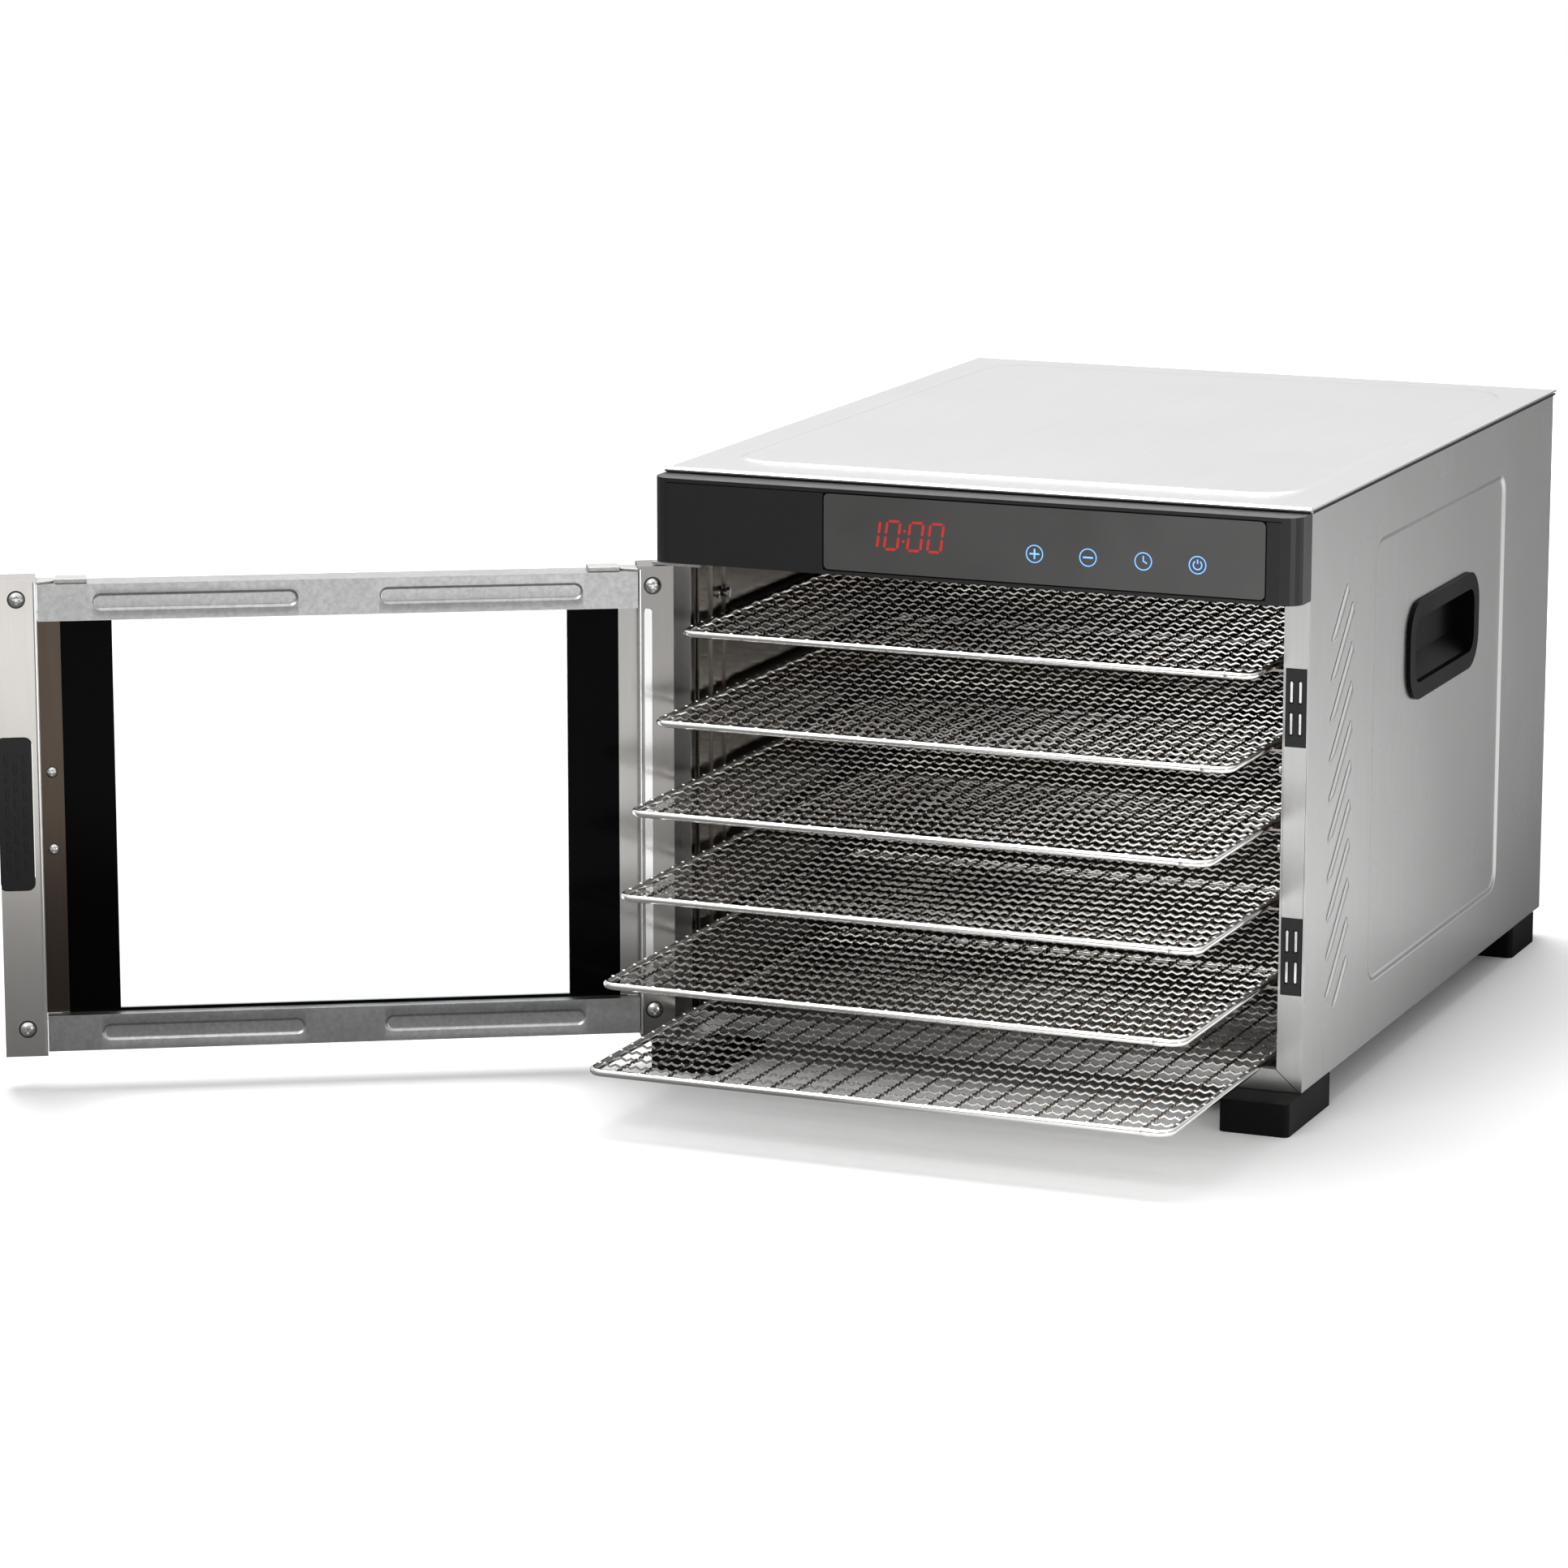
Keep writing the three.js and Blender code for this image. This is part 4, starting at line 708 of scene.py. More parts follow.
def add_louvre_hood(form, side, start, end, rise):
    """A pressed hood beside a slot: flush along its lower rear edge and open along the upper front one."""
    run = Vector((0, end[0] - start[0], end[1] - start[1]))
    along = run.normalized()
    back = Vector((0, along.z, -along.y))
    out = X * side
    face = HALF_WIDTH * side
    tip = LOUVRE["width"] / 2
    section = [(4.2, -0.2), (3.9, 0.1), (3.2, 0.55), (2.3, 0.9), (1.5, 1.0), (0.8, 0.85), (0.3, 0.5), (0.1, -0.2)]
    total = run.length + 2 * tip
    stations = 12
    rings = []
    for index in range(stations + 1):
        share = index / stations
        place = share * total - tip
        swell = math.sin(math.pi * min(0.5, min(share, 1 - share) * total / 9.0)) ** 0.7
        swell = max(swell, 0.05)
        centre = Vector((face, start[0], start[1])) + along * place
        ring = []
        for across, height in section:
            shift = back * (across * (0.35 + 0.65 * swell) - 0.05)
            level = height * swell if height > 0 else height
            ring.append(centre + shift + out * (level * rise))
        rings.append(ring)
    add_skin(form, rings)


class DEHYDRATOR_OT_cabinet_sheets(Operator):
    """Finish the lid, the sides, the base and the rear sheet"""

    bl_idname = "dehydrator.cabinet_sheets"
    bl_label = "Cabinet sheets"

    def execute(self, context):
        edge = context.scene.dehydrator_steel.edge
        dress(["side_panel_left", "side_panel_right", "base_pan", "rear_panel"], "side_steel", edge)
        # The lid gets a much paler steel than the sides: painted highlight on the top.
        dress(["top_cover"], "lid_steel", edge)
        return {"FINISHED"}


SIDE_PRESSING = {"y": (109.0, 350.0), "z": (30.0, 263.0), "corner": 12.0}
LID_PRESSING = {"side_margin": 23.0, "y": (33.0, 423.0), "corner": 22.0}
SHOULDER = ((0.0, 1.03), (0.7, 0.93), (1.4, 0.62), (2.1, 0.3), (2.9, 0.1), (3.4, 0.04))


def add_shoulder(form, outline_at, place):
    """A soft slope from the higher face down to the lower one. place turns (a, b, height) into a point."""
    rows = [[place(a, b, height) for a, b in outline_at(run)] for run, height in SHOULDER]
    rows.append([place(a, b, -0.1) for a, b in outline_at(SHOULDER[-1][0])])
    rows.append([place(a, b, -0.1) for a, b in outline_at(0.0)])
    add_skin(form, [list(ring) for ring in zip(*rows)], loop=True)


SEAM = {"width": 1.3, "proud": 0.05}


class DEHYDRATOR_OT_lid_seams(Operator):
    """Lay the dark joint between the lid and each side"""

    bl_idname = "dehydrator.lid_seams"
    bl_label = "Lid seams"

    def execute(self, context):
        top = heights("side_panel_right")[1]
        for name, side in SIDES.items():
            form = bmesh.new()
            face = sorted((side * (HALF_WIDTH - 0.2), side * (HALF_WIDTH + SEAM["proud"])))
            add_block(form, face, (1.5, DEPTH - 2), (top - SEAM["width"], top - 0.05))
            cabinet_piece(f"lid_seam_{name}", form, "rubber_black", "black_plastic")
        return {"FINISHED"}


class DEHYDRATOR_OT_pressings(Operator):
    """Shape the soft shoulders of the pressings in the lid and the sides"""

    bl_idname = "dehydrator.pressings"
    bl_label = "Pressings"

    def execute(self, context):
        for name, side in SIDES.items():
            form = bmesh.new()
            add_shoulder(
                form,
                lambda run: rounded(
                    (SIDE_PRESSING["y"][0] + run, SIDE_PRESSING["y"][1] - run),
                    (SIDE_PRESSING["z"][0] + run, SIDE_PRESSING["z"][1] - run), SIDE_PRESSING["corner"] - run, 8,
                ),
                lambda a, b, height: ((HALF_WIDTH - 1 + height) * side, a, b),
            )
            cabinet_piece(f"side_shoulder_{name}", form, "side_steel", "body_steel", smooth=60)
        top = heights("top_cover")[1]
        half = HALF_WIDTH - LID_PRESSING["side_margin"]
        form = bmesh.new()
        add_shoulder(
            form,
            lambda run: rounded(
                (-half - run, half + run), (LID_PRESSING["y"][0] - run, LID_PRESSING["y"][1] + run),
                LID_PRESSING["corner"] + run, 10,
            ),
            lambda a, b, height: (a, b, top - 1 + height),
        )
        cabinet_piece("lid_shoulder", form, "lid_steel", "body_steel", smooth=60)
        return {"FINISHED"}


class DEHYDRATOR_OT_louvres(Operator):
    """Press a hood beside every slot in the two sides"""

    bl_idname = "dehydrator.louvres"
    bl_label = "Louvres"

    def execute(self, context):
        rise = context.scene.dehydrator_steel.louvre_rise
        for name, side in SIDES.items():
            form = bmesh.new()
            for start, end in louvre_runs():
                add_louvre_hood(form, side, start, end, rise)
            cabinet_piece(f"louvre_hoods_{name}", form, "side_steel", "body_steel")
        return {"FINISHED"}


class DEHYDRATOR_OT_handles_and_feet(Operator):
    """Finish the carrying cups and the feet"""

    bl_idname = "dehydrator.handles_and_feet"
    bl_label = "Handles and feet"

    def execute(self, context):
        # The cups take near-black plastic with almost no shine: painted shade in the recesses.
        dress(["handle_cup_left", "handle_cup_right"], "cup_black", 0.7, 40.0)
        feet = [f"foot_{end}_{side}" for end in ("front", "rear") for side in SIDES]
        dress(feet, "foot_black", 0.8, 40.0)
        return {"FINISHED"}


# ---- Catches ----
CATCH_BAR = {"width": 1.3, "height": 10.6, "across": 4.6, "up": 16.0, "depth": 0.9}


class DEHYDRATOR_OT_catches(Operator):
    """Set bright pole pieces in the slots of the two magnet catches"""

    bl_idname = "dehydrator.catches"
    bl_label = "Magnet catches"

    def execute(self, context):
        for level in ("lower", "upper"):
            node = f"magnet_catch_{level}"
            dress([node], "satin_black", 0.5, 40.0)
            (x0, x1), (y0, _), (z0, z1) = from_cabinet(node)
            form = bmesh.new()
            for a in (-0.5, 0.5):
                for b in (-0.5, 0.5):
                    x = (x0 + x1) / 2 + a * CATCH_BAR["across"]
                    z = (z0 + z1) / 2 + b * CATCH_BAR["up"]
                    outline = rounded(
                        around(x, CATCH_BAR["width"]), around(z, CATCH_BAR["height"]), CATCH_BAR["width"] / 2.2, 3
                    )
                    add_prism(form, outline, y0 + 0.15, y0 + CATCH_BAR["depth"], "y")
            cabinet_piece(f"catch_poles_{level}", form, "bright_strip", "screw_steel", 0.12)
        return {"FINISHED"}


# ---- Chamber ----
STUDS = [(-1, 34.0, 226.0), (-1, 34.0, 60.0), (1, 20.0, 160.0), (1, 20.0, 120.0)]  # side, y, z
STUD_PROFILE = ((0.1, 0.0), (3.2, 0.0), (3.2, 0.9), (1.9, 1.2), (1.9, 4.4), (2.9, 4.6), (2.9, 5.6), (0.1, 6.2))
BAFFLE_SCREW = (3.4, 1.6, 0.3)  # radius, dome, rise over the sheet
REAR_SCREW = (3.6, 1.9, 0.3)


class DEHYDRATOR_OT_chamber(Operator):
    """Finish the chamber walls and racks, and add their studs and the baffle's screws"""

    bl_idname = "dehydrator.chamber"
    bl_label = "Drying chamber"

    def execute(self, context):
        # The chamber walls and baffle take near-black steel: painted shade inside the chamber.
        dress(["liner_left", "liner_right", "liner_top", "fan_baffle"], "chamber_steel", 0.2)
        dress(["tray_rack_left", "tray_rack_right"], "rack_steel", 0.25)
        dress(["motor_plate"], "dull_zinc")
        form = bmesh.new()
        (_, wall), _, _ = from_cabinet("tray_rack_right")
        for side, y, z in STUDS:
            centre = Vector((side * (wall - 1.0), y, z))
            add_turned(form, STUD_PROFILE, centre, -X * side)
        cabinet_piece("rack_studs", form, "bright_screw", "screw_steel")
        (x0, x1), (y0, _), (z0, z1) = from_cabinet("fan_baffle")
        form = bmesh.new()
        for x in (x0 + 9, x1 - 9):
            for z in (z0 + 9, (z0 + z1) / 2 - 18, z1 - 9):
                add_screw(form, Vector((x, y0, z)), -Y, *BAFFLE_SCREW)
        cabinet_piece("baffle_screws", form, "bright_screw", "screw_steel")
        return {"FINISHED"}


class DEHYDRATOR_OT_air_drive(Operator):
    """Finish the fan, its motor, the heater and their fittings"""

    bl_idname = "dehydrator.air_drive"
    bl_label = "Fan and heater"

    def execute(self, context):
        dress(["fan_impeller"], "fan_alloy", 0.4)
        dress(["motor_shaft", "temperature_sensor", "thermal_cutout"], "bright_screw", 0.2, 50.0)
        dress(["heater_element"], "hot_sheath", 0.0, 50.0)
        dress(["heater_bracket", "motor_bracket"], "dull_zinc", 0.3)
        dress(["fan_motor"], "motor_enamel", 0.6, 50.0)
        return {"FINISHED"}


# ---- Trays ----
TRAY_CORNER = 8.0
THINNER = 0.8  # front to back wires against the left to right ones
RIM_WELD = {"from_corner": 14.0, "length": 5.0, "swell": 1.18}


def draw_tray(half, depth, tray):
    """Rim rod with the left to right wires laid on it, and apart from it the front to back wires."""
    form = bmesh.new()
    rod = tray.rim / 2
    wire = tray.wire / 2
    rim_half = half - rod
    rim_depth = depth - tray.rim
    outline = rounded((-rim_half, rim_half), (-rim_depth / 2, rim_depth / 2), TRAY_CORNER - rod / 2, 7)
    points = [Vector((a, b, 0)) for a, b in outline]
    add_wire(form, points, rod, Z, 10, loop=True)
    weld_x = rim_half - RIM_WELD["from_corner"]
    weld = [Vector((weld_x + RIM_WELD["length"] * share, -rim_depth / 2, 0)) for share in (0, 0.12, 0.5, 0.88, 1)]
    swell = rod * RIM_WELD["swell"]
    add_wire(form, weld, [rod * 1.01, swell, swell * 0.93, swell, rod * 1.01], Z, 12)

    level = rod - wire - tray.crimp
    columns = round(2 * rim_half / tray.along_pitch)
    column_pitch = 2 * rim_half / columns
    rows = round(rim_depth / tray.across_pitch)
    row_pitch = rim_depth / rows
    bend = tray.half_crimps * 2
    for row in range(1, rows):
        y = -rim_depth / 2 + row * row_pitch
        wave = [
            Vector((-rim_half + step * column_pitch / bend, y,
                    level + tray.crimp * math.cos(math.pi * (step / 2 + row))))
            for step in range(columns * bend + 1)
        ]
        add_wire(form, wave, wire, Y)
    lengthwise = bmesh.new()
    for column in range(1, columns):
        x = -rim_half + column * column_pitch
        wave = [
            Vector((x, -rim_depth / 2 + step * row_pitch / bend,
                    level + tray.crimp * math.cos(math.pi * (step / 2 + column + 1))))
            for step in range(rows * bend + 1)
        ]
        add_wire(lengthwise, wave, wire * THINNER, X)
    ends = []
    for column in range(1, columns):
        ends += [Vector((-rim_half + column * column_pitch, way * rim_depth / 2, 0)) for way in (-1, 1)]
    for row in range(1, rows):
        ends += [Vector((way * rim_half, -rim_depth / 2 + row * row_pitch, 0)) for way in (-1, 1)]
    weld_bead = [(0.5, rod - 0.9), (1.25, rod - 0.5), (1.2, rod + 0.05), (0.8, rod + 0.3), (0.2, rod + 0.38)]
    for place in ends:
        add_turned(form, weld_bead, place, Z, 8)
    return form, lengthwise


class DEHYDRATOR_OT_trays(Operator):
    """Weave the six trays, which share their two meshes"""

    bl_idname = "dehydrator.trays"
    bl_label = "Woven trays"

    def execute(self, context):
        tray = context.scene.dehydrator_tray
        low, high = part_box(TRAYS[0])
        size = (high - low) / MM
        forms = draw_tray(size.x / 2, size.y, tray)
        # The front to back wires take the dark brown copy of the wire chrome: painted shade; the rest takes the
        # lighter copy, partly painted highlight.
        parts = (("woven", forms[0], finish("bright_wire")), ("lengthwise", forms[1], finish("shaded_wire")))
        for label, form, material in parts:
            mesh = None
            for name in TRAYS:
                low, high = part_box(name)
                place = Matrix.Translation((low + high) / 2)
                piece = make_piece(
                    f"{label}_{name}", form, place, material, name, "tray_wire", smooth=60.0, mesh=mesh
                )
                mesh = piece.data
                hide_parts(name)
        return {"FINISHED"}


# ---- Door ----
BAND = 26.0  # black print beside the clear part of the pane
POST_RIB = {"x": 9.6, "width": 4.4, "bottom": 26.0, "top": 226.0}
TAB = {"length": 16.0, "width": 9.0, "rise": 1.5}


def add_rail_tabs(form, top):
    """Strap and bent ear at both ends of the top rail."""
    for post_edge, way in ((HINGE_POST_END, 1), (HANDLE_POST_START, -1)):
        ear = [(post_edge, -7.0), (post_edge, 7.5), (post_edge + way * 9.0, 3.0), (post_edge + way * 9.0, -7.0)]
        add_prism(form, ear, top + 0.1, top + 1.3)
        strap = sorted((post_edge + way * 9.5, post_edge + way * (9.5 + TAB["length"])))
        add_block(form, strap, (-6.0, 6.5), (top + 0.1, top + TAB["rise"] + 0.9))


RAIL_RIB = {"start": 28.0, "length": 104.0, "gap": 40.5, "height": 9.0, "sunk": 1.0, "slope": 1.3}
PANE_SLOT = (PANE_FACE - 4.3, PANE_FACE + 0.3)


def add_ribbed_panel(form, x, z, face):
    """A length of rail face with a soft sunk slot in its middle."""
    half = RAIL_RIB["height"] / 2
    middle = (z[0] + z[1]) / 2
    steps = 6
    slot_x = (x[0] + half + 0.5, x[1] - half - 0.5)

    def slot(inset):
        return rounded((x[0] + 0.5 + inset, x[1] - 0.5 - inset), (middle - half + inset, middle + half - inset),
                       half - inset, steps)

    border = []
    for index, _ in enumerate(slot(0)):
        quarter, step = divmod(index, steps + 1)
        turn = math.pi / 2 * (quarter + step / steps)
        across, up = math.cos(turn), math.sin(turn)
        end_x = x[1] if quarter in (0, 3) else x[0]
        bend_x = slot_x[1] if quarter in (0, 3) else slot_x[0]
        end_z = z[1] if quarter in (0, 1) else z[0]
        if abs(across) > abs(up) + 1e-6:
            border.append((end_x, middle + (end_z - middle) * abs(up / across)))
        else:
            border.append((bend_x + (end_x - bend_x) * abs(across / up), end_z))
    sunk, slope = RAIL_RIB["sunk"], RAIL_RIB["slope"]
    levels = [(border, face - 1.1), (border, face), (slot(0), face), (slot(slope * 0.25), face - sunk * 0.12)]
    levels += [(slot(slope * 0.6), face - sunk * 0.6), (slot(slope), face - sunk * 0.97)]
    levels.append((slot(slope + 0.5), face - sunk))
    add_skin(form, [[(a, y, b) for a, b in outline] for outline, y in levels])


def draw_rail(z, slot_up):
    """A folded rail round the pane's edge, with two sunk slots. slot_up is the pane's side of the rail."""
    form = bmesh.new()
    x = (HINGE_POST_END + 0.3, HANDLE_POST_START - 0.3)
    face = DOOR_THICKNESS / 2 - 1.0
    floor = face - 1.1
    add_block(form, x, (-face, PANE_SLOT[0]), z)
    add_block(form, x, (PANE_SLOT[1], floor), z)
    web = (z[0], z[1] - 4.0) if slot_up else (z[0] + 4.0, z[1])
    add_block(form, x, PANE_SLOT, web)
    edge = x[0]
    for index in (0, 1):
        start = x[0] + RAIL_RIB["start"] + index * (RAIL_RIB["length"] + RAIL_RIB["gap"]) - 0.5
        end = start + RAIL_RIB["length"] + 1.0
        add_block(form, (edge, start), (floor, face), z)
        add_ribbed_panel(form, (start, end), z, face)
        edge = end
    add_block(form, (edge, x[1]), (floor, face), z)
    return form


class DEHYDRATOR_OT_rails(Operator):
    """Fold the door's two rails with their sunk slots"""

    bl_idname = "dehydrator.rails"
    bl_label = "Door rails"

    def execute(self, context):
        for level, z, slot_up in (("top", RAIL_TOP_HEIGHTS, False), ("bottom", RAIL_LOW_HEIGHTS, True)):
            node = f"door_rail_{level}"
            rail = door_piece(f"folded_{node}", draw_rail(z, slot_up), "rail_zinc", "rail_steel")
            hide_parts(node)
        return {"FINISHED"}


def add_fold(form, x, width, z):
    """The rounded fold along a post's inner edge."""
    face = DOOR_THICKNESS / 2
    arc = [(x + width / 2 * (1 + math.cos(math.pi * step / 6)), face - 0.1 + 0.55 * math.sin(math.pi * step / 6))
           for step in range(7)]
    add_prism(form, arc, z[0], z[1])


class DEHYDRATOR_OT_door(Operator):
    """Finish the door's posts and pane, and add its print, rib, lips, folds and tabs"""

    bl_idname = "dehydrator.door"
    bl_label = "Door"

    def execute(self, context):
        edge = context.scene.dehydrator_steel.edge
        dress(["door_post_handle"], "post_steel", 0.9)
        dress(["door_post_hinge"], "hinge_steel", 0.9)
        dress(["hinge_pin_lower", "hinge_pin_upper"], "bright_screw", 0.2, 50.0)
        dress(["hinge_plate_lower", "hinge_plate_upper"], "dull_zinc", edge)
        dress(["door_glass"], "clear_pane", 0.3)
        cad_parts["door_glass"].visible_shadow = False

        low = RAIL_LOW_HEIGHTS[1] - 1.0
        high = RAIL_TOP_HEIGHTS[0] + 1.0
        hinge_end = HINGE_POST_END + HINGE_LIP
        handle_end = HANDLE_POST_START - HANDLE_LIP
        form = bmesh.new()
        for start, end in ((hinge_end - 4, hinge_end + BAND), (handle_end - BAND, handle_end + 4)):
            add_block(form, (start, end), (PANE_FACE + 0.02, PANE_FACE + 0.12), (low, high))
            add_block(form, (start, end), (PANE_FACE - 4.12, PANE_FACE - 4.02), (low, high))
        add_block(form, (hinge_end + BAND, handle_end - BAND), (PANE_FACE + 0.02, PANE_FACE + 0.12),
                  (low, low + 2.6))
        door_piece("pane_print", form, "black_print", "control_glass")

        # The rib takes bright strip steel, far lighter than its post: painted highlight.
        form = bmesh.new()
        wide = around(POST_RIB["x"], POST_RIB["width"])
        outline = rounded(wide, (POST_RIB["bottom"], POST_RIB["top"]), POST_RIB["width"] / 2.05)
        add_prism(form, outline, DOOR_THICKNESS / 2 - 0.1, DOOR_THICKNESS / 2 + 0.7, "y")
        door_piece("hinge_post_rib", form, "bright_strip", "body_steel", 0.35)

        inside = (RAIL_LOW_HEIGHTS[1] + 0.5, RAIL_TOP_HEIGHTS[0] - 0.5)
        # Each lip takes its own steel; the handle lip's near-black one is painted shade in its recess.
        lips = {"handle": (handle_end, HANDLE_POST_START - 0.1), "hinge": (HINGE_POST_END + 0.1, hinge_end)}
        for post, across in lips.items():
            form = bmesh.new()
            add_block(form, (across[0] - 0.05, across[1]), (PANE_FACE + 1.4, PANE_FACE + 1.62), inside)
            door_piece(f"lip_{post}", form, f"lip_{post}", "body_steel", 0.08)
        # The folds take bright strip steel, lighter than the posts: painted highlight along the folds.
        form = bmesh.new()
        ends = (DOOR_HEIGHTS[0] + 1.5, DOOR_HEIGHTS[1] - 1.5)
        add_fold(form, HANDLE_POST_START, 1.7, ends)
        add_fold(form, HINGE_POST_END - 1.5, 1.5, ends)
        door_piece("post_folds", form, "bright_strip", "body_steel", smooth=60)

        form = bmesh.new()
        add_rail_tabs(form, RAIL_TOP_HEIGHTS[1])
        door_piece("rail_tabs", form, "dull_zinc", "dull_steel", 0.3)
        return {"FINISHED"}


GRIP = {"width": 17.0, "dash": 6.0, "dash_width": 1.5, "row_pitch": 9.0, "column_pitch": 4.4}


class DEHYDRATOR_OT_grip_and_screws(Operator):
    """Finish the grip, with its raised dashes, and cut the door's screw heads"""

    bl_idname = "dehydrator.grip_and_screws"
    bl_label = "Grip and screws"

    def execute(self, context):
        dress(["door_grip"], "grip_black", 1.2, 40.0)
        inner_face = DOOR_THICKNESS / 2
        form = bmesh.new()
        middle = DOOR_END - GRIP["width"] / 2
        for column in (-1, 0, 1):
            x = middle + column * GRIP["column_pitch"]
            z = GRIP_HEIGHTS[0] + 9 + (GRIP["row_pitch"] / 2 if column else 0)
            while z < GRIP_HEIGHTS[1] - 9:
                outline = rounded(around(x, GRIP["dash_width"]), around(z, GRIP["dash"]), 0.7, 3)
                add_prism(form, outline, inner_face - 0.1, inner_face + 0.7, "y")
                z += GRIP["row_pitch"]
        door_piece("grip_dashes", form, "grip_black", "black_plastic", 0.3)

        to_door = DOOR.inverted()
        for level in ("bottom", "top"):
            for post in ("hinge", "handle"):
                self.cut_head(f"door_screw_{post}_{level}", to_door, inner_face, 3.75, 2.0)
        for level in ("lower", "upper"):
            self.cut_head(f"grip_screw_{level}", to_door, PANE_FACE + 1.5, 2.65, 1.5)
        return {"FINISHED"}

    def cut_head(self, node, to_door, seat, radius, dome):
        low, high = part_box(node)
        centre = to_door @ ((low + high) / 2) / MM
        centre.y = seat
        form = bmesh.new()
        add_screw(form, centre, Y, radius, dome, 0.35)
        head = door_piece(f"head_{node}", form, "bright_screw", "screw_steel", smooth=35.0)
        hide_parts(node)
        # A near-black ring round each head: painted shadow.
        form = bmesh.new()
        rim = radius * 1.22
        profile = [(0.2, -0.05), (rim, -0.05), (rim, 0.06), (radius * 1.1, 0.14), (0.2, 0.14)]
        add_turned(form, profile, centre, Y, 28)
        door_piece(f"seat_{node}", form, "screw_shadow", "dull_steel")


# ---- Controls ----
CONTROL_GROOVE = 0.5
WINDOW_CORNER = 2.6
SEGMENTS = {
    "a": ((0, 2), (1, 2)), "b": ((1, 2), (1, 1)), "c": ((1, 1), (1, 0)), "d": ((0, 0), (1, 0)),
    "e": ((0, 1), (0, 0)), "f": ((0, 2), (0, 1)),
}
DIGIT_PARTS = {"0": "abcdef", "1": "bc"}
COLON = {"width": 1.4, "heights": (0.3, 0.68), "gap": 2.6}
DIGIT = {"left": -55.5, "width": 7.0, "height": 14.2, "pitch": 10.8, "stroke": 1.35, "slant": 0.13, "gap": 0.45}
SIGN = {"radius": 4.3, "stroke": 0.5, "arm": 2.6, "bar": 0.8, "thin": 0.6, "places": (35.5, 63.6, 92.4, 120.5)}


def add_print(form, outline, face):
    add_prism(form, outline, face - 0.08, face - 0.01, "y")


def add_segment(form, start, end, origin, face):
    """A pointed bar between two corners of a digit, leaning with it."""
    half = DIGIT["stroke"] / 2
    a = Vector((start[0] * DIGIT["width"], start[1] * DIGIT["height"] / 2))
    b = Vector((end[0] * DIGIT["width"], end[1] * DIGIT["height"] / 2))
    along = (b - a).normalized()
    out = Vector((-along.y, along.x))
    a += along * DIGIT["gap"]
    b -= along * DIGIT["gap"]
    corners = [a, a + (along + out) * half, b + (out - along) * half, b, b - (along + out) * half,
               a + (along - out) * half]
    outline = [(origin[0] + c.x + DIGIT["slant"] * c.y, origin[1] + c.y) for c in corners]
    add_print(form, outline, face)


def add_disc_ring(form, centre, radius, stroke, face, start=0.0, sweep=2 * math.pi):
    """A flat ring or arc printed on the panel."""
    steps = 36
    inner, outer = [], []
    whole = sweep > 6.2
    for step in range(steps if whole else steps + 1):
        turn = start + sweep * step / steps
        for points, r in ((inner, radius - stroke), (outer, radius)):
            points.append((centre[0] + r * math.cos(turn), centre[1] + r * math.sin(turn)))
    if whole:
        add_ribbon(form, inner, outer, face - 0.08, face - 0.01)
    else:
        add_print(form, inner + outer[::-1], face)


def add_stroke(form, centre, start, end, width, face):
    """A straight printed stroke between two points measured from a centre."""
    a = Vector(start)
    b = Vector(end)
    out = Vector((-(b - a).y, (b - a).x)).normalized() * width / 2
    outline = [(centre[0] + p.x, centre[1] + p.y) for p in (a + out, b + out, b - out, a - out)]
    add_print(form, outline, face)


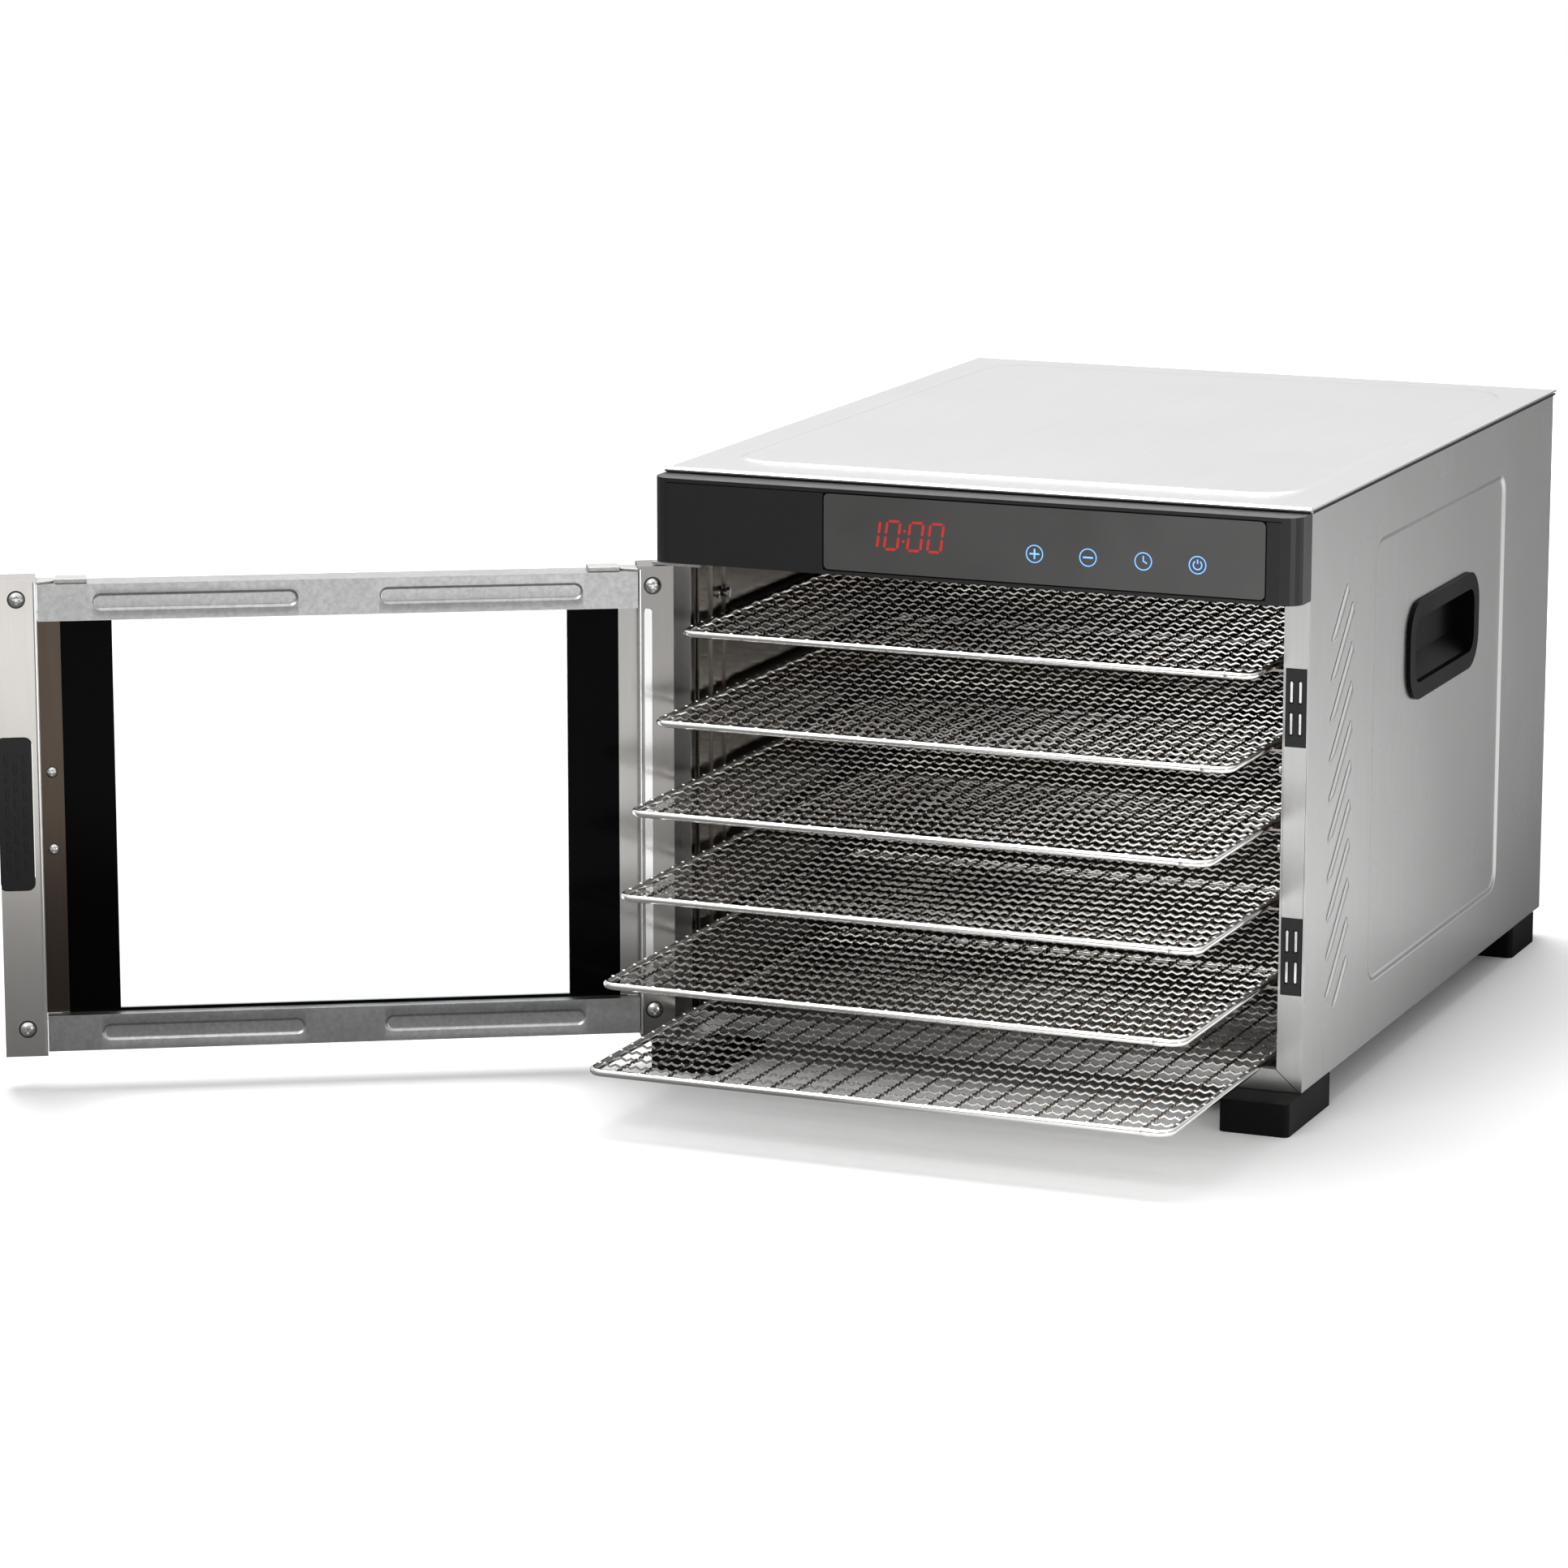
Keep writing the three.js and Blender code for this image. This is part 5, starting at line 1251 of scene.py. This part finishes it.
class DEHYDRATOR_OT_controls(Operator):
    """Finish the control panel and light its digits and touch signs"""

    bl_idname = "dehydrator.controls"
    bl_label = "Control panel"

    def execute(self, context):
        dress(["control_bezel"], "satin_black", 0.5, 40.0)
        dress(["control_glass"], "smoked_panel", 0.12)
        dress(["display_module"], "motor_enamel", 0.3)
        dress(["control_board"], "board_green", 0.2)
        (x0, x1), (face, _), (z0, z1) = from_cabinet("control_glass")

        form = bmesh.new()
        groove = CONTROL_GROOVE
        inner = rounded((x0 + 0.15, x1 - 0.15), (z0 + 0.15, z1 - 0.15), WINDOW_CORNER)
        outer = rounded((x0 - groove, x1 + groove), (z0 - groove, z1 + groove), WINDOW_CORNER + groove)
        add_ribbon(form, inner, outer, face - 0.09, face + 0.2)
        (bezel_x0, bezel_x1), (bezel_front, _), (_, bezel_top) = from_cabinet("control_bezel")
        add_block(form, (bezel_x0 + 9, bezel_x1 - 9), (bezel_front - 0.04, bezel_front + 0.2),
                  (bezel_top - 2.4, bezel_top - 2.0))
        cabinet_piece("panel_grooves", form, "black_print", "black_plastic")

        form = bmesh.new()
        bottom = (z0 + z1) / 2 - DIGIT["height"] / 2 + 0.2
        places = [DIGIT["left"] + index * DIGIT["pitch"] + (1.6 if index > 1 else 0) for index in range(4)]
        for character, x in zip("1000", places):
            for part in DIGIT_PARTS[character]:
                add_segment(form, *SEGMENTS[part], (x, bottom), face)
        colon_x = places[2] - COLON["gap"]
        for height in COLON["heights"]:
            x = colon_x + DIGIT["slant"] * height * DIGIT["height"]
            z = bottom + height * DIGIT["height"]
            add_print(form, rounded(around(x, COLON["width"]), around(z, COLON["width"]), 0.6, 3), face)
        cabinet_piece("display_digits", form, "red_digits", "control_glass")

        form = bmesh.new()
        z = (z0 + z1) / 2 - 4.2
        arm, stroke = SIGN["arm"], SIGN["stroke"]
        centres = [(x, z) for x in SIGN["places"]]
        for centre in centres:
            add_disc_ring(form, centre, SIGN["radius"] + stroke / 2, stroke, face)
        plus, minus, clock, power = centres
        bar, thin = SIGN["bar"], SIGN["thin"]
        for centre, start, end, width in (
            (plus, (-arm, 0), (arm, 0), bar), (minus, (-arm, 0), (arm, 0), bar),
            (plus, (0, 0.42), (0, arm), bar), (plus, (0, -arm), (0, -0.42), bar),
            (clock, (0, -0.2), (0, 2.7), thin), (clock, (0.32, 0), (2.0, -1.0), thin),
            (power, (0, 0.6), (0, 2.8), thin),
        ):
            add_stroke(form, centre, start, end, width, face)
        add_disc_ring(form, power, 2.5, thin, face, math.radians(125), math.radians(290))
        cabinet_piece("touch_signs", form, "blue_signs", "control_glass")
        return {"FINISHED"}


# ---- Back ----
class DEHYDRATOR_OT_back(Operator):
    """Finish the mains inlet with its pins, and screw the rear sheet on"""

    bl_idname = "dehydrator.back"
    bl_label = "Back"

    def execute(self, context):
        dress(["power_inlet"], "satin_black", 0.4, 40.0)
        (x0, x1), (_, y1), (z0, z1) = from_cabinet("power_inlet")
        x, z = (x0 + x1) / 2, (z0 + z1) / 2
        form = bmesh.new()
        for across, up in ((-7.0, -1.8), (0.0, 1.8), (7.0, -1.8)):
            outline = rounded(around(x + across, 2.0), around(z + up, 4.0), 0.35, 2)
            add_prism(form, outline, y1 - 18.2, y1 - 3.0, "y")
        cabinet_piece("inlet_pins", form, "brass_pin", "screw_steel", 0.25)

        (x0, x1), (_, back), (z0, z1) = from_cabinet("rear_panel")
        form = bmesh.new()
        for x in (x0 + 6.5, x1 - 6.5):
            for z in (z0 + 12, (z0 + z1) / 2, z1 - 12):
                add_screw(form, Vector((x, back, z)), Y, *REAR_SCREW)
        for x in (-95.0, 95.0):
            add_screw(form, Vector((x, back, z1 - 8)), Y, *REAR_SCREW)
        cabinet_piece("rear_screws", form, "bright_screw", "screw_steel")
        return {"FINISHED"}


# ---- Stage ----
LIT_MIDDLE = (0.15, 0.05, 0.16)
SOFTBOXES = {  # place and size in metres
    "key": ((-0.6, 0.9, 2.9), (2.2, 2.2)), "fill": ((-0.4, -2.3, 2.2), (1.8, 1.0)),
    "edge": ((1.9, -0.95, 0.32), (0.35, 0.5)),
}


def aim(thing, target):
    thing.rotation_euler = (target - thing.location).to_track_quat("-Z", "Y").to_euler()


def add_softbox(name, place, target, size, power):
    lamp = bpy.data.lights.new(name, "AREA")
    lamp.shape = "RECTANGLE"
    lamp.size, lamp.size_y = size
    lamp.energy = power
    box = new_object(name, lamp)
    box.location = place
    aim(box, target)


def seen_directly(tree):
    """1 where a ray comes straight from the camera or through the pane, otherwise 0."""
    ray = add_node(tree, "LightPath")
    return arithmetic(tree, "MAXIMUM", ray.outputs["Is Camera Ray"], ray.outputs["Is Transmission Ray"])


def white_surroundings(stage):
    """White all round. Gloss sees a brighter wall behind the left, greyer walls elsewhere and a bright ceiling."""
    world = bpy.data.worlds.new("white_surroundings")
    bpy.context.scene.world = world
    world.use_nodes = True
    tree = world.node_tree
    sky = tree.nodes["Background"]
    way = add_node(tree, "TexCoord").outputs["Generated"]
    height = add_node(tree, "SeparateXYZ", {0: way}).outputs["Z"]
    rise = ranged(tree, height, (0.0, 0.9), (stage.wall_grey, stage.ceiling))
    wall = ranged(tree, along_way(tree, way, (-0.6, 0.8, 0.0)), (0.35, 0.95), (0.0, stage.bright_wall))
    grey = grey_level(tree, arithmetic(tree, "ADD", rise, wall))
    ray = add_node(tree, "LightPath")
    soft = (stage.soft_light, stage.soft_light, stage.soft_light, 1.0)
    lighting = mixed(tree, ray.outputs["Is Diffuse Ray"], grey, soft)
    shade = mixed(tree, seen_directly(tree), lighting, (1.0, 1.0, 1.0, 1.0))
    tree.links.new(shade, sky.inputs["Color"])
    sky.inputs["Strength"].default_value = 1.0


class DEHYDRATOR_OT_stage(Operator):
    """Set the floor, the soft lights and the camera"""

    bl_idname = "dehydrator.stage"
    bl_label = "Stage"

    def execute(self, context):
        stage = context.scene.dehydrator_stage
        form = bmesh.new()
        add_prism(form, rounded((-6000, 6000), (-6000, 6000), 2000, 12), -20, 0)
        bmesh.ops.recalc_face_normals(form, faces=form.faces)
        form.transform(Matrix.Scale(MM, 4))
        mesh = bpy.data.meshes.new("floor")
        form.to_mesh(mesh)
        form.free()
        floor_paint, tree, shader = new_material("floor_paint", Roughness=0.7)
        shade = place_group(tree, "smudge", Low=0.0, High=1.0, Per_metre=1.5)
        pale = mixed(tree, shade.outputs["Value"], rgba(stage.floor), rgba(stage.floor, 1.01))
        # Glossy rays see a grey slope, paler to the right and the front, in place of the floor's colour: a painted
        # reflection that shades the side panels darker towards the bottom and the back.
        ray = add_node(tree, "LightPath")
        place = piece_place(tree)
        painted_reflection_slope = along_way(tree, place, (4.4, -1.7, 0.0))
        dark, paler = stage.painted_reflection_dark, stage.painted_reflection_pale
        grey = grey_level(tree, ranged(tree, painted_reflection_slope, (0.85 + dark, 0.85 + paler), (dark, paler)))
        toned = mixed(tree, ray.outputs["Is Glossy Ray"], pale, grey)
        away = add_node(tree, "VectorMath", {0: place}, operation="LENGTH").outputs["Value"]
        far = grey_level(tree, ranged(tree, away, (0.9, 2.4), (stage.floor[0], stage.floor_far)))
        tree.links.new(mixed(tree, seen_directly(tree), toned, far), shader.inputs["Base Color"])
        mesh.materials.append(floor_paint)
        floor = new_object("floor", mesh)

        white_surroundings(stage)
        for name, (place, size) in SOFTBOXES.items():
            add_softbox(f"{name}_softbox", Vector(place), Vector(LIT_MIDDLE), size, getattr(stage, f"{name}_power"))
        context.scene.view_settings.view_transform = "Standard"

        lens = bpy.data.cameras.new("camera")
        lens.lens = stage.lens
        lens.sensor_width = 36.0
        lens.clip_start = 0.05
        camera = new_object("camera", lens)
        target = Vector(stage.target)
        flat = math.cos(stage.elevation)
        way = Vector((math.sin(stage.azimuth) * flat, -math.cos(stage.azimuth) * flat, math.sin(stage.elevation)))
        camera.location = target + stage.distance * way
        aim(camera, target)
        context.scene.camera = camera
        return {"FINISHED"}


SETTINGS = {
    "dehydrator_stage": DehydratorStageSettings,
    "dehydrator_steel": DehydratorSteelSettings,
    "dehydrator_tray": DehydratorTraySettings,
    "dehydrator_control": DehydratorControlSettings,
}
OPERATORS = (
    DEHYDRATOR_OT_stage,
    DEHYDRATOR_OT_cabinet_sheets,
    DEHYDRATOR_OT_lid_seams,
    DEHYDRATOR_OT_pressings,
    DEHYDRATOR_OT_louvres,
    DEHYDRATOR_OT_handles_and_feet,
    DEHYDRATOR_OT_catches,
    DEHYDRATOR_OT_chamber,
    DEHYDRATOR_OT_air_drive,
    DEHYDRATOR_OT_trays,
    DEHYDRATOR_OT_rails,
    DEHYDRATOR_OT_door,
    DEHYDRATOR_OT_grip_and_screws,
    DEHYDRATOR_OT_controls,
    DEHYDRATOR_OT_back,
)


class DEHYDRATOR_PT_pieces(Panel):
    """Lists the steps that build the dehydrator, with their settings"""

    bl_idname = "DEHYDRATOR_PT_pieces"
    bl_label = "Food dehydrator"
    bl_space_type = "VIEW_3D"
    bl_region_type = "UI"
    bl_category = "Dehydrator"

    def draw(self, context):
        for operator in OPERATORS:
            self.layout.operator(operator.bl_idname)
        for name, settings in SETTINGS.items():
            column = self.layout.column()
            for key in settings.__annotations__:
                column.prop(getattr(context.scene, name), key)


def register():
    for settings in SETTINGS.values():
        bpy.utils.register_class(settings)
    for name, settings in SETTINGS.items():
        setattr(bpy.types.Scene, name, PointerProperty(type=settings))
    for operator in OPERATORS:
        bpy.utils.register_class(operator)
    bpy.utils.register_class(DEHYDRATOR_PT_pieces)


def unregister():
    bpy.utils.unregister_class(DEHYDRATOR_PT_pieces)
    for operator in reversed(OPERATORS):
        bpy.utils.unregister_class(operator)
    for name, settings in SETTINGS.items():
        delattr(bpy.types.Scene, name)
        bpy.utils.unregister_class(settings)


def main():
    register()
    for operator in OPERATORS:
        family, step = operator.bl_idname.split(".")
        getattr(getattr(bpy.ops, family), step)()


if __name__ == "__main__":
    main()
